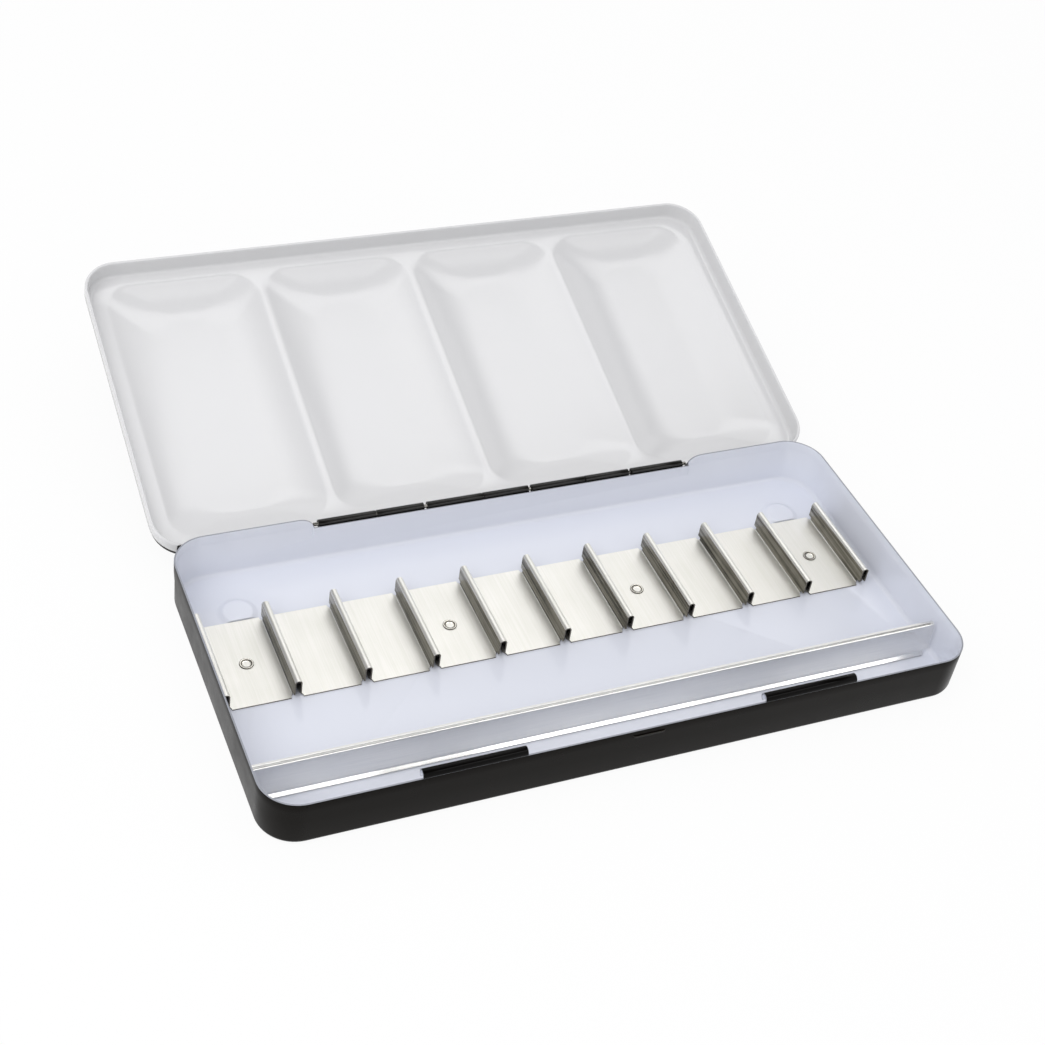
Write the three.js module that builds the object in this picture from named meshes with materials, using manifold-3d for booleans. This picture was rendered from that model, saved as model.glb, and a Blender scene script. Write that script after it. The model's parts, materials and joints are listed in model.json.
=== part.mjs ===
// A flat metal box for watercolour pans: a pressed base with a hinged lid whose floor is pressed
// into mixing wells, a folded strip that grips the pans in bays, and a loose divider rail.
//
// Units are millimetres and +Z is up. The origin is the middle of the base's underside. +X runs
// along the hinge, +Y runs from the front wall to the hinge, and the lid stands open.

import * as THREE from "three";
import { mergeVertices } from "three/addons/utils/BufferGeometryUtils.js";
import Module from "manifold-3d";

const wasm = await Module();
wasm.setup();

const DEGREE = Math.PI / 180;
const QUARTER_TURN = Math.PI / 2;
const HALF_TURN = Math.PI;

// Shared values
const SEAT_GAP = 0.3; // running gap between pieces that don't touch
const OVERRUN = 2; // how far a cutting solid runs past what it cuts
const WELD = 0.2; // how far joined solids sink into each other

// Pan tray: one bright strip folded into ridges, with a bay for a pan between each two
const BAYS = 10;
const BAY_WIDTH = 19.2;
const RIDGE_WIDTH = 2.3;
const RIDGE_RISE = 6.4; // above the plates between the ridges
const TRAY_DEPTH = 34.5;
const TRAY_SHEET = 0.4;
const FOLD_RADIUS = 0.7; // of the fold between a plate and a ridge, at mid-sheet
const RIDGE_TOP_SHARE = 0.95; // radius of the ridge's top bends, of half the ridge's width
const RELIEF_RADIUS = 1.9; // round relief cut at both ends of each fold
const RELIEF_RISE = 0.9; // how far the relief reaches up a ridge

// Rivets that hold the tray to the floor
const RIVETS = 4;
const RIVET_BAY_STEPS = 3; // bays from one rivet to the next, starting in the first bay
const RIVET_HEAD_RADIUS = 2.2;
const RIVET_HEAD_RISE = 0.25;
const RIVET_DISH_RADIUS = 1.6;
const RIVET_DISH_DEPTH = 0.3;
const RIVET_SHANK_RADIUS = 1.3;
const RIVET_TAIL_FLARE = 0.5;
const RIVET_TAIL_INSET = 0.05; // tail stays above the underside
const RIVET_SETBACK = 0.65; // in front of the tray's middle line

// Divider rail: a leaning strip with a foot in front and a ridged edge folded back at the top
const RAIL_SHEET = 0.5;
const RAIL_RISE = 12;
const RAIL_LEAN = 3 * DEGREE;
const RAIL_FOOT = 2.6;
const RAIL_EDGE = 1.65; // width of the folded edge
const RAIL_EDGE_SLOPE = 12 * DEGREE; // each half of the edge falls away from its middle
const RAIL_BEND = 0.6; // radius of its bends, at mid-sheet
const RAIL_LEFT_GAP = 0.7; // to the base's left wall
const RAIL_RIGHT_GAP = 1.95;
const RAIL_NOTCH = 2.2; // bottom corners cut off to clear the bend of the floor

// Room round the tray and the rail inside the base
const TRAY_LEFT_GAP = 1.7;
const TRAY_RIGHT_GAP = 5.5;
const BACK_ROOM = 21.65; // behind the tray
const MIDDLE_ROOM = 33; // between the rail's foot and the tray
const FRONT_ROOM = 15.55; // between the front wall and the rail's foot

// Base shell
const BASE_SHEET = 0.5;
const BASE_HEIGHT = 16.5;
const BASE_CORNER = 11.5;
const BASE_BEND = 2.1; // outside radius of the bend between floor and wall
const RIM_STRIP = 4.4; // height of the back wall's outer strip beside the hinge
const STRIP_SLOPE = 1.8; // height over which the back wall steps out to that strip
const HINGE_WALL_RISE = 0.35; // back wall's edge above the hinge line

// Round pips pressed up in the floor's back corners, cut straight where they meet the tray
const PIP_RADIUS = 6.6;
const PIP_TOP_RADIUS = 4.4;
const PIP_RISE = 0.8;
const PIP_SIDE_ROOM = 17; // pip's middle to the side wall
const PIP_BACK_ROOM = 17.75; // pip's middle to the back wall

// Latch curls rolled from the front wall, and the small catch between them
const CURL_RADIUS = 1.5;
const CURL_LENGTH = 31.2;
const CURL_SPREAD = 107; // between the middles of the two curls
const CURL_LIFT = 0.4; // curl's middle above the rim
const CURL_END = -70 * DEGREE; // where the roll stops, from level and inward
const CATCH_LENGTH = 9.6;
const CATCH_HEIGHT = 1.5;
const CATCH_PROUD = 0.8;
const CATCH_DROP = 2.4; // catch's middle below the rim

// Hinge
const KNUCKLE_RADIUS = 1.35;
const BORE_RADIUS = 0.9;
const PIN_RADIUS = 0.6;
const PIN_PROUD = 1.7;
const BASE_KNUCKLES = 4;
const BASE_KNUCKLE_LENGTH = 19;
const LID_KNUCKLE_LENGTH = 15.8;
const KNUCKLE_GAP = 0.85;
const LID_KNUCKLE_SHIFT = -0.4; // lid's knuckles stand a little left in their slots
const LEAF_SHEET = 0.5;
const LEAF_RISE = 6.5; // from the hinge line to the leaf's far edge
const KNUCKLE_CLEARANCE = 0.85; // round a knuckle, to the other half's sheet
const HINGE_DROP = 3.55; // hinge line below the base's rim
const HINGE_INSET = 0.15; // hinge line inside the lid's back face

// Lid shell
const LID_SHEET = 0.4;
const LID_OPEN_TILT = 16 * DEGREE; // of the open lid, above level
const LID_SIDE_GAP = 1.25;
const LID_FRONT_GAP = 2.65;
const LID_BACK_GAP = 0.4;
const LID_CORNER = 11;
const LID_BEND = 1.8;
const LID_HEAD_ROOM = 1.35; // above the latch curls when the lid is shut
const HEM_WIDTH = 0.6; // hem's stand-out from the lid's skirt
const HEM_HEIGHT = 4;
const HEM_BACK_STOP = 2; // hem ends this far in front of the hinge line

// Mixing wells pressed into the lid
const WELLS = 4;
const WELL_RIB = 1.5; // narrow rib between two wells
const WELL_SIDE_BORDER = 5.9; // from the lid's skirt to the wells
const WELL_BACK_BORDER = 6.8;
const WELL_FRONT_BORDER = 4.2;
const WELL_DEPTH = 3.4;
const WELL_CORNER = 10;
const WELL_FLOOR_CORNER = 8;
const WELL_SLOPE = 9;
const WELL_SLOPE_SHARES = [[0, 0], [0.12, 0.1], [0.35, 0.5], [0.62, 0.83], [1, 1]]; // inwards, down

// Steps of the round forms
const CORNER_STEPS = 7;
const BEND_STEPS = 3;
const ROUND_STEPS = 24;
const ARC_STEPS = 8;

// Sizes that follow from the ones above
const ridgePitch = BAY_WIDTH + RIDGE_WIDTH;
const knucklePitch = BASE_KNUCKLE_LENGTH + LID_KNUCKLE_LENGTH + 2 * KNUCKLE_GAP;
const trayLength = BAYS * ridgePitch + RIDGE_WIDTH;
const baseWidth = trayLength + TRAY_LEFT_GAP + TRAY_RIGHT_GAP + 2 * BASE_SHEET;
const kneeReach = HINGE_INSET - LID_BACK_GAP - LID_SHEET; // rim strip's outside to hinge line
const backStep = KNUCKLE_RADIUS + SEAT_GAP + kneeReach;
const insideDepth = FRONT_ROOM + RAIL_FOOT + MIDDLE_ROOM + TRAY_DEPTH + BACK_ROOM;
const baseDepth = insideDepth + backStep + 2 * BASE_SHEET;
const baseFront = -baseDepth / 2;
const baseBack = baseDepth / 2;
const floorTop = BASE_SHEET;
const wallBack = baseBack - backStep;
const trayBack = wallBack - BASE_SHEET - BACK_ROOM;
const trayFront = trayBack - TRAY_DEPTH;
const trayLeft = -baseWidth / 2 + BASE_SHEET + TRAY_LEFT_GAP;
const rivetY = (trayFront + trayBack) / 2 - RIVET_SETBACK;
const railFootFront = baseFront + BASE_SHEET + FRONT_ROOM;
const hingeY = baseBack - kneeReach;
const hingeZ = BASE_HEIGHT - HINGE_DROP;
const hingeSpan = (BASE_KNUCKLES - 1) * knucklePitch + BASE_KNUCKLE_LENGTH;
const hingeWallTop = hingeZ + HINGE_WALL_RISE;
const recessHalf = hingeSpan / 2 + PIN_PROUD + SEAT_GAP;
const stripTop = BASE_HEIGHT - RIM_STRIP; // level where the back wall has stepped out to its strip
const stripFoot = stripTop - STRIP_SLOPE;
const curlTop = CURL_LIFT + CURL_RADIUS;
const lidDepth = HINGE_DROP + curlTop + LID_HEAD_ROOM; // rim plane to the lid's inside floor
const lidHalfWidth = baseWidth / 2 + LID_SIDE_GAP + LID_SHEET; // of the skirt, without its hem
const lidSkirtFront = hingeY - baseFront + LID_FRONT_GAP + LID_SHEET; // from the hinge line
const knuckleClear = KNUCKLE_RADIUS + KNUCKLE_CLEARANCE;

const enamelBlack = { color: 0x2b2a27, roughness: 0.45, metalness: 0 };
const enamelWhite = { color: 0xe9e9eb, roughness: 0.3, metalness: 0 };
const tinplate = { color: 0xd8d6d0, roughness: 0.22, metalness: 1 };
const pinSteel = { color: 0x4a4845, roughness: 0.35, metalness: 1 };

// Geometry helpers

// Points of a rounded rectangle, counter-clockwise seen from above.
function roundedRing({ left, right, front, back }, radius) {
  const corners = [
    [right - radius, back - radius],
    [left + radius, back - radius],
    [left + radius, front + radius],
    [right - radius, front + radius],
  ];
  return corners.flatMap(([x, y], quarter) =>
    Array.from({ length: CORNER_STEPS + 1 }, (_, step) => {
      const angle = (quarter + step / CORNER_STEPS) * QUARTER_TURN;
      return [x + radius * Math.cos(angle), y + radius * Math.sin(angle)];
    })
  );
}

// A rectangle's sides moved in by one distance.
function inset({ left, right, front, back }, distance) {
  return { left: left + distance, right: right - distance, front: front + distance, back: back - distance };
}

// A closed solid through rings of equally many points, each { ring, z }, from the lowest up.
function loft(levels) {
  const count = levels[0].ring.length;
  const points = levels.flatMap(({ ring, z }) => ring.map(([x, y]) => [x, y, z]));
  const triangles = [];
  for (let level = 0; level < levels.length - 1; level += 1) {
    for (let i = 0; i < count; i += 1) {
      const here = level * count + i;
      const next = level * count + ((i + 1) % count);
      triangles.push([here, next, next + count], [here, next + count, here + count]);
    }
  }
  const last = (levels.length - 1) * count;
  for (let i = 1; i < count - 1; i += 1) {
    triangles.push([0, i + 1, i], [last, last + i, last + i + 1]);
  }
  const geometry = new THREE.BufferGeometry();
  geometry.setAttribute("position", new THREE.Float32BufferAttribute(points.flat(), 3));
  geometry.setIndex(triangles.flat());
  return geometry;
}

// Levels of a pan with a rounded bottom edge: from its floor up through the bend to its rim.
function panLevels(sides, corner, bend, floor, rim) {
  const levels = Array.from({ length: BEND_STEPS + 1 }, (_, step) => {
    const angle = (QUARTER_TURN * step) / BEND_STEPS;
    const inward = bend * (1 - Math.sin(angle));
    const ring = roundedRing(inset(sides, inward), corner - inward);
    return { ring, z: floor + bend * (1 - Math.cos(angle)) };
  });
  return [...levels, { ring: roundedRing(sides, corner), z: rim }];
}

// A line through [x, y, radius] corners with each corner rounded to its radius.
function bent(corners) {
  return corners.flatMap(([x, y, radius], i) => {
    if (radius === 0) return [[x, y]];
    const corner = new THREE.Vector2(x, y);
    const back = new THREE.Vector2(...corners[i - 1]).sub(corner).normalize();
    const onward = new THREE.Vector2(...corners[i + 1]).sub(corner).normalize();
    const between = Math.acos(back.dot(onward));
    const middle = back.clone().add(onward).setLength(radius / Math.sin(between / 2)).add(corner);
    const start = back.clone().multiplyScalar(radius / Math.tan(between / 2)).add(corner);
    const turn = (HALF_TURN - between) * Math.sign(onward.cross(back));
    return Array.from({ length: BEND_STEPS + 1 }, (_, step) =>
      start.clone().rotateAround(middle, (turn * step) / BEND_STEPS).toArray()
    );
  });
}

// The section of a sheet that follows a line at mid-thickness.
function folded(line, sheet) {
  const points = line.map(([x, y]) => new THREE.Vector2(x, y));
  const side = (distance) => points.map((point, i) => {
    const before = point.clone().sub(points[Math.max(i - 1, 0)]).normalize();
    const after = points[Math.min(i + 1, points.length - 1)].clone().sub(point).normalize();
    const along = before.clone().add(after).normalize();
    const widen = 1 / Math.max(along.dot(before), along.dot(after));
    return new THREE.Vector2(-along.y, along.x).multiplyScalar(distance * widen).add(point);
  });
  return new THREE.Shape([...side(-sheet / 2), ...side(sheet / 2).reverse()]);
}

// A profile of (y, z) points run along X from one x to another.
function alongX(shape, from, to) {
  const geometry = new THREE.ExtrudeGeometry(shape, extrusion(to - from));
  const turn = new THREE.Matrix4().makeBasis(
    new THREE.Vector3(0, 1, 0), new THREE.Vector3(0, 0, 1), new THREE.Vector3(1, 0, 0)
  );
  return geometry.applyMatrix4(turn).translate(from, 0, 0);
}

// A profile of (x, z) points run along Y from one y to another.
function alongY(shape, from, to) {
  return new THREE.ExtrudeGeometry(shape, extrusion(to - from)).rotateX(QUARTER_TURN).translate(0, to, 0);
}

function extrusion(depth) {
  return { depth, bevelEnabled: false, curveSegments: ARC_STEPS };
}

function box(x0, x1, y0, y1, z0, z1) {
  const geometry = new THREE.BoxGeometry(x1 - x0, y1 - y0, z1 - z0);
  return geometry.translate((x0 + x1) / 2, (y0 + y1) / 2, (z0 + z1) / 2);
}

function rodAlongX(radius, from, to, y, z) {
  const rod = new THREE.CylinderGeometry(radius, radius, to - from, ROUND_STEPS);
  return rod.rotateZ(QUARTER_TURN).translate((from + to) / 2, y, z);
}

// A turned piece from (radius, z) points that start and end on the axis, from the lowest up.
function turned(points) {
  const profile = points.map(([radius, z]) => new THREE.Vector2(radius, z));
  return new THREE.LatheGeometry(profile, ROUND_STEPS).rotateX(QUARTER_TURN);
}

function solid(geometry) {
  geometry.deleteAttribute("normal");
  geometry.deleteAttribute("uv");
  const merged = mergeVertices(geometry);
  return new wasm.Manifold(new wasm.Mesh({
    numProp: 3,
    vertProperties: new Float32Array(merged.attributes.position.array),
    triVerts: new Uint32Array(merged.index.array),
  }));
}

function geometryOf(manifold) {
  const mesh = manifold.getMesh();
  const geometry = new THREE.BufferGeometry();
  geometry.setAttribute("position", new THREE.BufferAttribute(mesh.vertProperties, 3));
  geometry.setIndex(new THREE.BufferAttribute(mesh.triVerts, 1));
  geometry.computeVertexNormals();
  return geometry;
}

function joined(first, ...others) {
  return others.reduce((whole, other) => whole.add(solid(other)), first);
}

function cut(first, ...others) {
  return others.reduce((whole, other) => whole.subtract(solid(other)), first);
}

function piece(name, geometry, finish) {
  const mesh = new THREE.Mesh(geometry, new THREE.MeshStandardMaterial(finish));
  mesh.name = name;
  return mesh;
}

// Base shell

const baseSides = { left: -baseWidth / 2, right: baseWidth / 2, front: baseFront, back: baseBack };
const baseSidesLow = { ...baseSides, back: wallBack };

// Below the strip the back wall stands in by the step, and it slopes out to the strip.
function baseBody(thickness, rim) {
  const low = inset(baseSidesLow, thickness);
  const high = inset(baseSides, thickness);
  const corner = BASE_CORNER - thickness;
  return loft([
    ...panLevels(low, corner, BASE_BEND - thickness, thickness, stripFoot),
    { ring: roundedRing(high, corner), z: stripTop },
    { ring: roundedRing(high, corner), z: rim },
  ]);
}

// The rim drops to the hinge in a rounded shoulder at each end.
function hingeRecess() {
  const top = BASE_HEIGHT + OVERRUN;
  const shoulder = BASE_HEIGHT - hingeWallTop;
  const half = recessHalf + shoulder;
  const shape = new THREE.Shape();
  shape.moveTo(-recessHalf, stripFoot);
  shape.lineTo(recessHalf, stripFoot);
  shape.absarc(half, hingeWallTop, shoulder, HALF_TURN, QUARTER_TURN, true);
  shape.lineTo(half, top);
  shape.lineTo(-half, top);
  shape.absarc(-half, hingeWallTop, shoulder, QUARTER_TURN, 0, true);
  return alongY(shape, wallBack - BASE_SHEET - WELD, baseBack + OVERRUN);
}

// A roll turned inwards from the front wall's edge.
function latchCurl(middle) {
  const y = baseFront + CURL_RADIUS;
  const z = BASE_HEIGHT + CURL_LIFT;
  const inner = CURL_RADIUS - BASE_SHEET;
  const shape = new THREE.Shape();
  shape.moveTo(baseFront, BASE_HEIGHT - WELD);
  shape.lineTo(baseFront + BASE_SHEET, BASE_HEIGHT - WELD);
  shape.lineTo(baseFront + BASE_SHEET, z);
  shape.absarc(y, z, inner, HALF_TURN, CURL_END, true);
  shape.absarc(y, z, CURL_RADIUS, CURL_END, HALF_TURN, false);
  return alongX(shape, middle - CURL_LENGTH / 2, middle + CURL_LENGTH / 2);
}

// A half-round tongue pressed out of the front wall.
function catchTongue() {
  const z = BASE_HEIGHT - CATCH_DROP;
  const shape = new THREE.Shape();
  shape.moveTo(baseFront + BASE_SHEET / 2, z - CATCH_HEIGHT / 2);
  shape.lineTo(baseFront + BASE_SHEET / 2, z + CATCH_HEIGHT / 2);
  shape.lineTo(baseFront, z + CATCH_HEIGHT / 2);
  shape.quadraticCurveTo(baseFront - 2 * CATCH_PROUD, z, baseFront, z - CATCH_HEIGHT / 2);
  return alongX(shape, -CATCH_LENGTH / 2, CATCH_LENGTH / 2);
}

const pipY = wallBack - BASE_SHEET - PIP_BACK_ROOM;
const pipX = baseWidth / 2 - BASE_SHEET - PIP_SIDE_ROOM;
const pipPlaces = [-pipX, pipX];
const firstRivet = trayLeft + RIDGE_WIDTH + BAY_WIDTH / 2;
const rivetPlaces = Array.from({ length: RIVETS }, (_, i) => firstRivet + i * RIVET_BAY_STEPS * ridgePitch);

// A pip from one z up over its top, cut straight at one y. Lift is its foot's height.
function pip(x, start, lift, frontY) {
  const points = [
    [0, start],
    [PIP_RADIUS, start],
    [PIP_RADIUS, lift],
    [PIP_TOP_RADIUS, lift + PIP_RISE],
    [0, lift + PIP_RISE],
  ];
  const dome = turned(points).translate(x, pipY, 0);
  const reach = PIP_RADIUS + OVERRUN;
  const top = lift + PIP_RISE + OVERRUN;
  return cut(solid(dome), box(x - reach, x + reach, pipY - reach, frontY, start - OVERRUN, top));
}

// A countersunk hole through the floor, wider than the rivet's tail by the gap.
function rivetHole(x) {
  const low = RIVET_SHANK_RADIUS + RIVET_TAIL_FLARE + SEAT_GAP;
  const high = RIVET_SHANK_RADIUS + SEAT_GAP;
  const points = [[0, -OVERRUN], [low, -OVERRUN], [low, 0], [high, floorTop], [high, OVERRUN], [0, OVERRUN]];
  return turned(points).translate(x, rivetY, 0);
}

function baseShell() {
  const webs = [[-recessHalf - BASE_SHEET, -recessHalf], [recessHalf, recessHalf + BASE_SHEET]];
  const web = ([from, to]) => box(from, to, wallBack - BASE_SHEET, baseBack, stripFoot - WELD, BASE_HEIGHT);
  const cavity = cut(solid(baseBody(BASE_SHEET, BASE_HEIGHT + OVERRUN)), ...webs.map(web));
  const sheet = cut(solid(baseBody(0, BASE_HEIGHT)).subtract(cavity), hingeRecess());
  const hingeWall = box(-recessHalf, recessHalf, wallBack - BASE_SHEET, wallBack, stripFoot - WELD, hingeWallTop);
  const curls = [-CURL_SPREAD / 2, CURL_SPREAD / 2].map(latchCurl);
  const whole = joined(sheet, hingeWall, ...curls, catchTongue());
  const raised = pipPlaces.reduce(
    (shell, x) => shell
      .add(pip(x, floorTop - WELD, floorTop, trayBack + SEAT_GAP))
      .subtract(pip(x, -OVERRUN, 0, trayBack + SEAT_GAP + BASE_SHEET)),
    whole
  );
  return geometryOf(cut(raised, ...rivetPlaces.map(rivetHole)));
}

// Pan tray

// The folded strip's middle line: up, over and down at each ridge, then along the next plate.
function trayPath() {
  const plate = floorTop + TRAY_SHEET / 2;
  const top = plate + RIDGE_RISE;
  const half = (RIDGE_WIDTH - TRAY_SHEET) / 2;
  const ridges = Array.from({ length: BAYS + 1 }, (_, i) => trayLeft + RIDGE_WIDTH / 2 + i * ridgePitch);
  const corners = ridges.flatMap((x) => [
    [x - half, plate, FOLD_RADIUS],
    [x - half, top, half * RIDGE_TOP_SHARE],
    [x + half, top, half * RIDGE_TOP_SHARE],
    [x + half, plate, FOLD_RADIUS],
  ]);
  corners[0] = [ridges[0] - half, floorTop, 0];
  corners[corners.length - 1] = [ridges[BAYS] + half, floorTop, 0];
  return bent(corners);
}

function panTray() {
  const reliefs = [];
  for (let ridge = 0; ridge <= BAYS; ridge += 1) {
    const x = trayLeft + RIDGE_WIDTH / 2 + ridge * ridgePitch;
    for (const y of [trayFront, trayBack]) {
      const height = TRAY_SHEET + RELIEF_RISE + OVERRUN;
      const relief = new THREE.CylinderGeometry(RELIEF_RADIUS, RELIEF_RADIUS, height, ROUND_STEPS);
      reliefs.push(relief.rotateX(QUARTER_TURN).translate(x, y, floorTop - OVERRUN + height / 2));
    }
  }
  const holes = rivetPlaces.map((x) => {
    const radius = RIVET_SHANK_RADIUS + SEAT_GAP;
    const hole = new THREE.CylinderGeometry(radius, radius, 2 * OVERRUN, ROUND_STEPS);
    return hole.rotateX(QUARTER_TURN).translate(x, rivetY, floorTop);
  });
  const strip = alongY(folded(trayPath(), TRAY_SHEET), trayFront, trayBack);
  return geometryOf(cut(solid(strip), ...reliefs, ...holes));
}

// A flush tail in the floor, a shank, and a thin head with a shallow dish.
function trayRivet(x) {
  const seat = floorTop + TRAY_SHEET;
  const headTop = seat + RIVET_HEAD_RISE;
  const points = [
    [0, RIVET_TAIL_INSET],
    [RIVET_SHANK_RADIUS + RIVET_TAIL_FLARE, RIVET_TAIL_INSET],
    [RIVET_SHANK_RADIUS, floorTop],
    [RIVET_SHANK_RADIUS, seat],
    [RIVET_HEAD_RADIUS, seat],
    [RIVET_HEAD_RADIUS, headTop - RIVET_HEAD_RISE / 2],
    [RIVET_HEAD_RADIUS - RIVET_HEAD_RISE / 2, headTop],
    [RIVET_DISH_RADIUS, headTop],
    [RIVET_DISH_RADIUS / 2, headTop - RIVET_DISH_DEPTH],
    [0, headTop - RIVET_DISH_DEPTH],
  ];
  return turned(points).translate(x, rivetY, 0);
}

// Divider rail

const railLeft = -baseWidth / 2 + BASE_SHEET + RAIL_LEFT_GAP;
const railRight = baseWidth / 2 - BASE_SHEET - RAIL_RIGHT_GAP;

// Foot, leaning web, then the two halves of the edge folded back along its top.
function railPath() {
  const low = floorTop + RAIL_SHEET / 2;
  const high = floorTop + RAIL_RISE - RAIL_SHEET / 2;
  const webFoot = railFootFront + RAIL_FOOT - RAIL_SHEET / 2;
  const webTop = webFoot + (high - low) * Math.tan(RAIL_LEAN);
  const fall = (RAIL_EDGE / 2) * Math.tan(RAIL_EDGE_SLOPE);
  return bent([
    [railFootFront, low, 0],
    [webFoot, low, RAIL_BEND],
    [webTop, high - fall, RAIL_BEND],
    [webTop + RAIL_EDGE / 2, high, 0],
    [webTop + RAIL_EDGE, high - fall, 0],
  ]);
}

function dividerRail() {
  const strip = solid(alongX(folded(railPath(), RAIL_SHEET), railLeft, railRight));
  const notchTop = floorTop + RAIL_NOTCH;
  const notches = [[railLeft - OVERRUN, railLeft + RAIL_NOTCH], [railRight - RAIL_NOTCH, railRight + OVERRUN]];
  const back = railFootFront + RAIL_FOOT + OVERRUN;
  const notch = ([from, to]) => box(from, to, railFootFront - OVERRUN, back, -OVERRUN, notchTop);
  return geometryOf(cut(strip, ...notches.map(notch)));
}

// Hinge

const baseKnuckles = Array.from({ length: BASE_KNUCKLES }, (_, i) => {
  const middle = (i - (BASE_KNUCKLES - 1) / 2) * knucklePitch;
  return [middle - BASE_KNUCKLE_LENGTH / 2, middle + BASE_KNUCKLE_LENGTH / 2];
});
const lidKnuckles = Array.from({ length: BASE_KNUCKLES - 1 }, (_, i) => {
  const middle = (i - (BASE_KNUCKLES - 2) / 2) * knucklePitch + LID_KNUCKLE_SHIFT;
  return [middle - LID_KNUCKLE_LENGTH / 2, middle + LID_KNUCKLE_LENGTH / 2];
});

// A leaf seen along the hinge line at (0, 0): a plate at faceY that hangs down, and its knuckles,
// each tied to the plate by a root.
function hingeLeaf(faceY, knuckles) {
  const plateY = [faceY, faceY + LEAF_SHEET];
  const from = Math.min(...knuckles.flat());
  const to = Math.max(...knuckles.flat());
  const plate = box(from, to, ...plateY, -LEAF_RISE, -knuckleClear);
  const rootY = [Math.min(faceY, 0), Math.max(faceY + LEAF_SHEET, 0)];
  const barrels = knuckles.map(([x0, x1]) => rodAlongX(KNUCKLE_RADIUS, x0, x1, 0, 0));
  const roots = knuckles.map(([x0, x1]) => box(x0, x1, ...rootY, -KNUCKLE_RADIUS, 0));
  const ties = knuckles.map(([x0, x1]) => box(x0, x1, ...plateY, -knuckleClear - WELD, -PIN_RADIUS));
  const bore = rodAlongX(BORE_RADIUS, from - OVERRUN, to + OVERRUN, 0, 0);
  return cut(joined(solid(plate), ...barrels, ...roots, ...ties), bore);
}

function baseHingeLeaf() {
  const leaf = geometryOf(hingeLeaf(wallBack - hingeY, baseKnuckles));
  return leaf.translate(0, hingeY, hingeZ);
}

// The pin stands out at both ends, each end rounded over.
function hingePin() {
  const half = hingeSpan / 2 + PIN_PROUD;
  const round = PIN_RADIUS / 2;
  const points = [
    [0, -half],
    [PIN_RADIUS - round, -half],
    [PIN_RADIUS, -half + round],
    [PIN_RADIUS, half - round],
    [PIN_RADIUS - round, half],
    [0, half],
  ];
  return turned(points).rotateY(QUARTER_TURN).translate(0, hingeY, hingeZ);
}

// Lid, drawn about the hinge line with its rim plane at z 0 and its floor below

const lidSides = { left: -lidHalfWidth, right: lidHalfWidth, front: -HINGE_INSET, back: lidSkirtFront };
const wellSpan = { front: WELL_BACK_BORDER - HINGE_INSET, back: lidSkirtFront - WELL_FRONT_BORDER };
const wellWidth = (2 * (lidHalfWidth - WELL_SIDE_BORDER) - (WELLS - 1) * WELL_RIB) / WELLS;
const wellMiddles = Array.from({ length: WELLS }, (_, i) => (i - (WELLS - 1) / 2) * (wellWidth + WELL_RIB));

// One well as a solid to join or cut, grown by a sheet thickness and running up to the given z.
function well(middle, grow, top) {
  const sides = inset({ left: middle - wellWidth / 2, right: middle + wellWidth / 2, ...wellSpan }, -grow);
  const levels = WELL_SLOPE_SHARES.map(([inwardShare, downShare]) => {
    const corner = WELL_CORNER + grow - inwardShare * (WELL_CORNER - WELL_FLOOR_CORNER);
    const ring = roundedRing(inset(sides, inwardShare * WELL_SLOPE), corner);
    return { ring, z: -lidDepth - grow - downShare * WELL_DEPTH };
  });
  return loft([...levels.reverse(), { ring: roundedRing(sides, WELL_CORNER + grow), z: top }]);
}

function lidShell() {
  const outside = panLevels(lidSides, LID_CORNER, LID_BEND, -lidDepth - LID_SHEET, 0);
  const inner = inset(lidSides, LID_SHEET);
  const cavity = panLevels(inner, LID_CORNER - LID_SHEET, LID_BEND - LID_SHEET, -lidDepth, OVERRUN);
  const hemSides = inset(lidSides, -HEM_WIDTH);
  const hem = loft([
    { ring: roundedRing(lidSides, LID_CORNER), z: -HEM_HEIGHT },
    { ring: roundedRing(hemSides, LID_CORNER + HEM_WIDTH), z: -HEM_HEIGHT + HEM_WIDTH / 2 },
    { ring: roundedRing(hemSides, LID_CORNER + HEM_WIDTH), z: -HEM_WIDTH / 2 },
    { ring: roundedRing(inset(hemSides, HEM_WIDTH / 2), LID_CORNER + HEM_WIDTH / 2), z: 0 },
  ]);
  const past = lidHalfWidth + OVERRUN;
  const behind = -HINGE_INSET - OVERRUN;
  const trimmedHem = cut(solid(hem), box(-past, past, behind, HEM_BACK_STOP, -HEM_HEIGHT - OVERRUN, OVERRUN));
  const bulges = wellMiddles.map((x) => well(x, LID_SHEET, -lidDepth));
  const hollows = wellMiddles.map((x) => well(x, 0, -lidDepth + WELD));
  const recess = box(-recessHalf, recessHalf, behind, LID_SHEET + SEAT_GAP, -knuckleClear, OVERRUN);
  const body = joined(solid(loft(outside)).add(trimmedHem), ...bulges);
  return geometryOf(cut(body, loft(cavity), ...hollows, recess));
}

function lidHingeLeaf() {
  return geometryOf(hingeLeaf(-HINGE_INSET - SEAT_GAP - LEAF_SHEET, lidKnuckles));
}

const lid = new THREE.Group();
lid.position.set(0, hingeY, hingeZ);
lid.rotation.x = LID_OPEN_TILT;
lid.add(
  piece("lid_shell", lidShell(), enamelWhite),
  piece("lid_hinge_leaf", lidHingeLeaf(), enamelBlack)
);

const paintBox = new THREE.Group();
paintBox.add(
  piece("base_shell", baseShell(), enamelBlack),
  piece("base_hinge_leaf", baseHingeLeaf(), enamelBlack),
  piece("hinge_pin", hingePin(), pinSteel),
  piece("pan_tray", panTray(), tinplate),
  ...rivetPlaces.map((x, i) => piece(`tray_rivet_${i + 1}`, trayRivet(x), tinplate)),
  piece("divider_rail", dividerRail(), tinplate),
  lid
);

export default paintBox;
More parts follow.
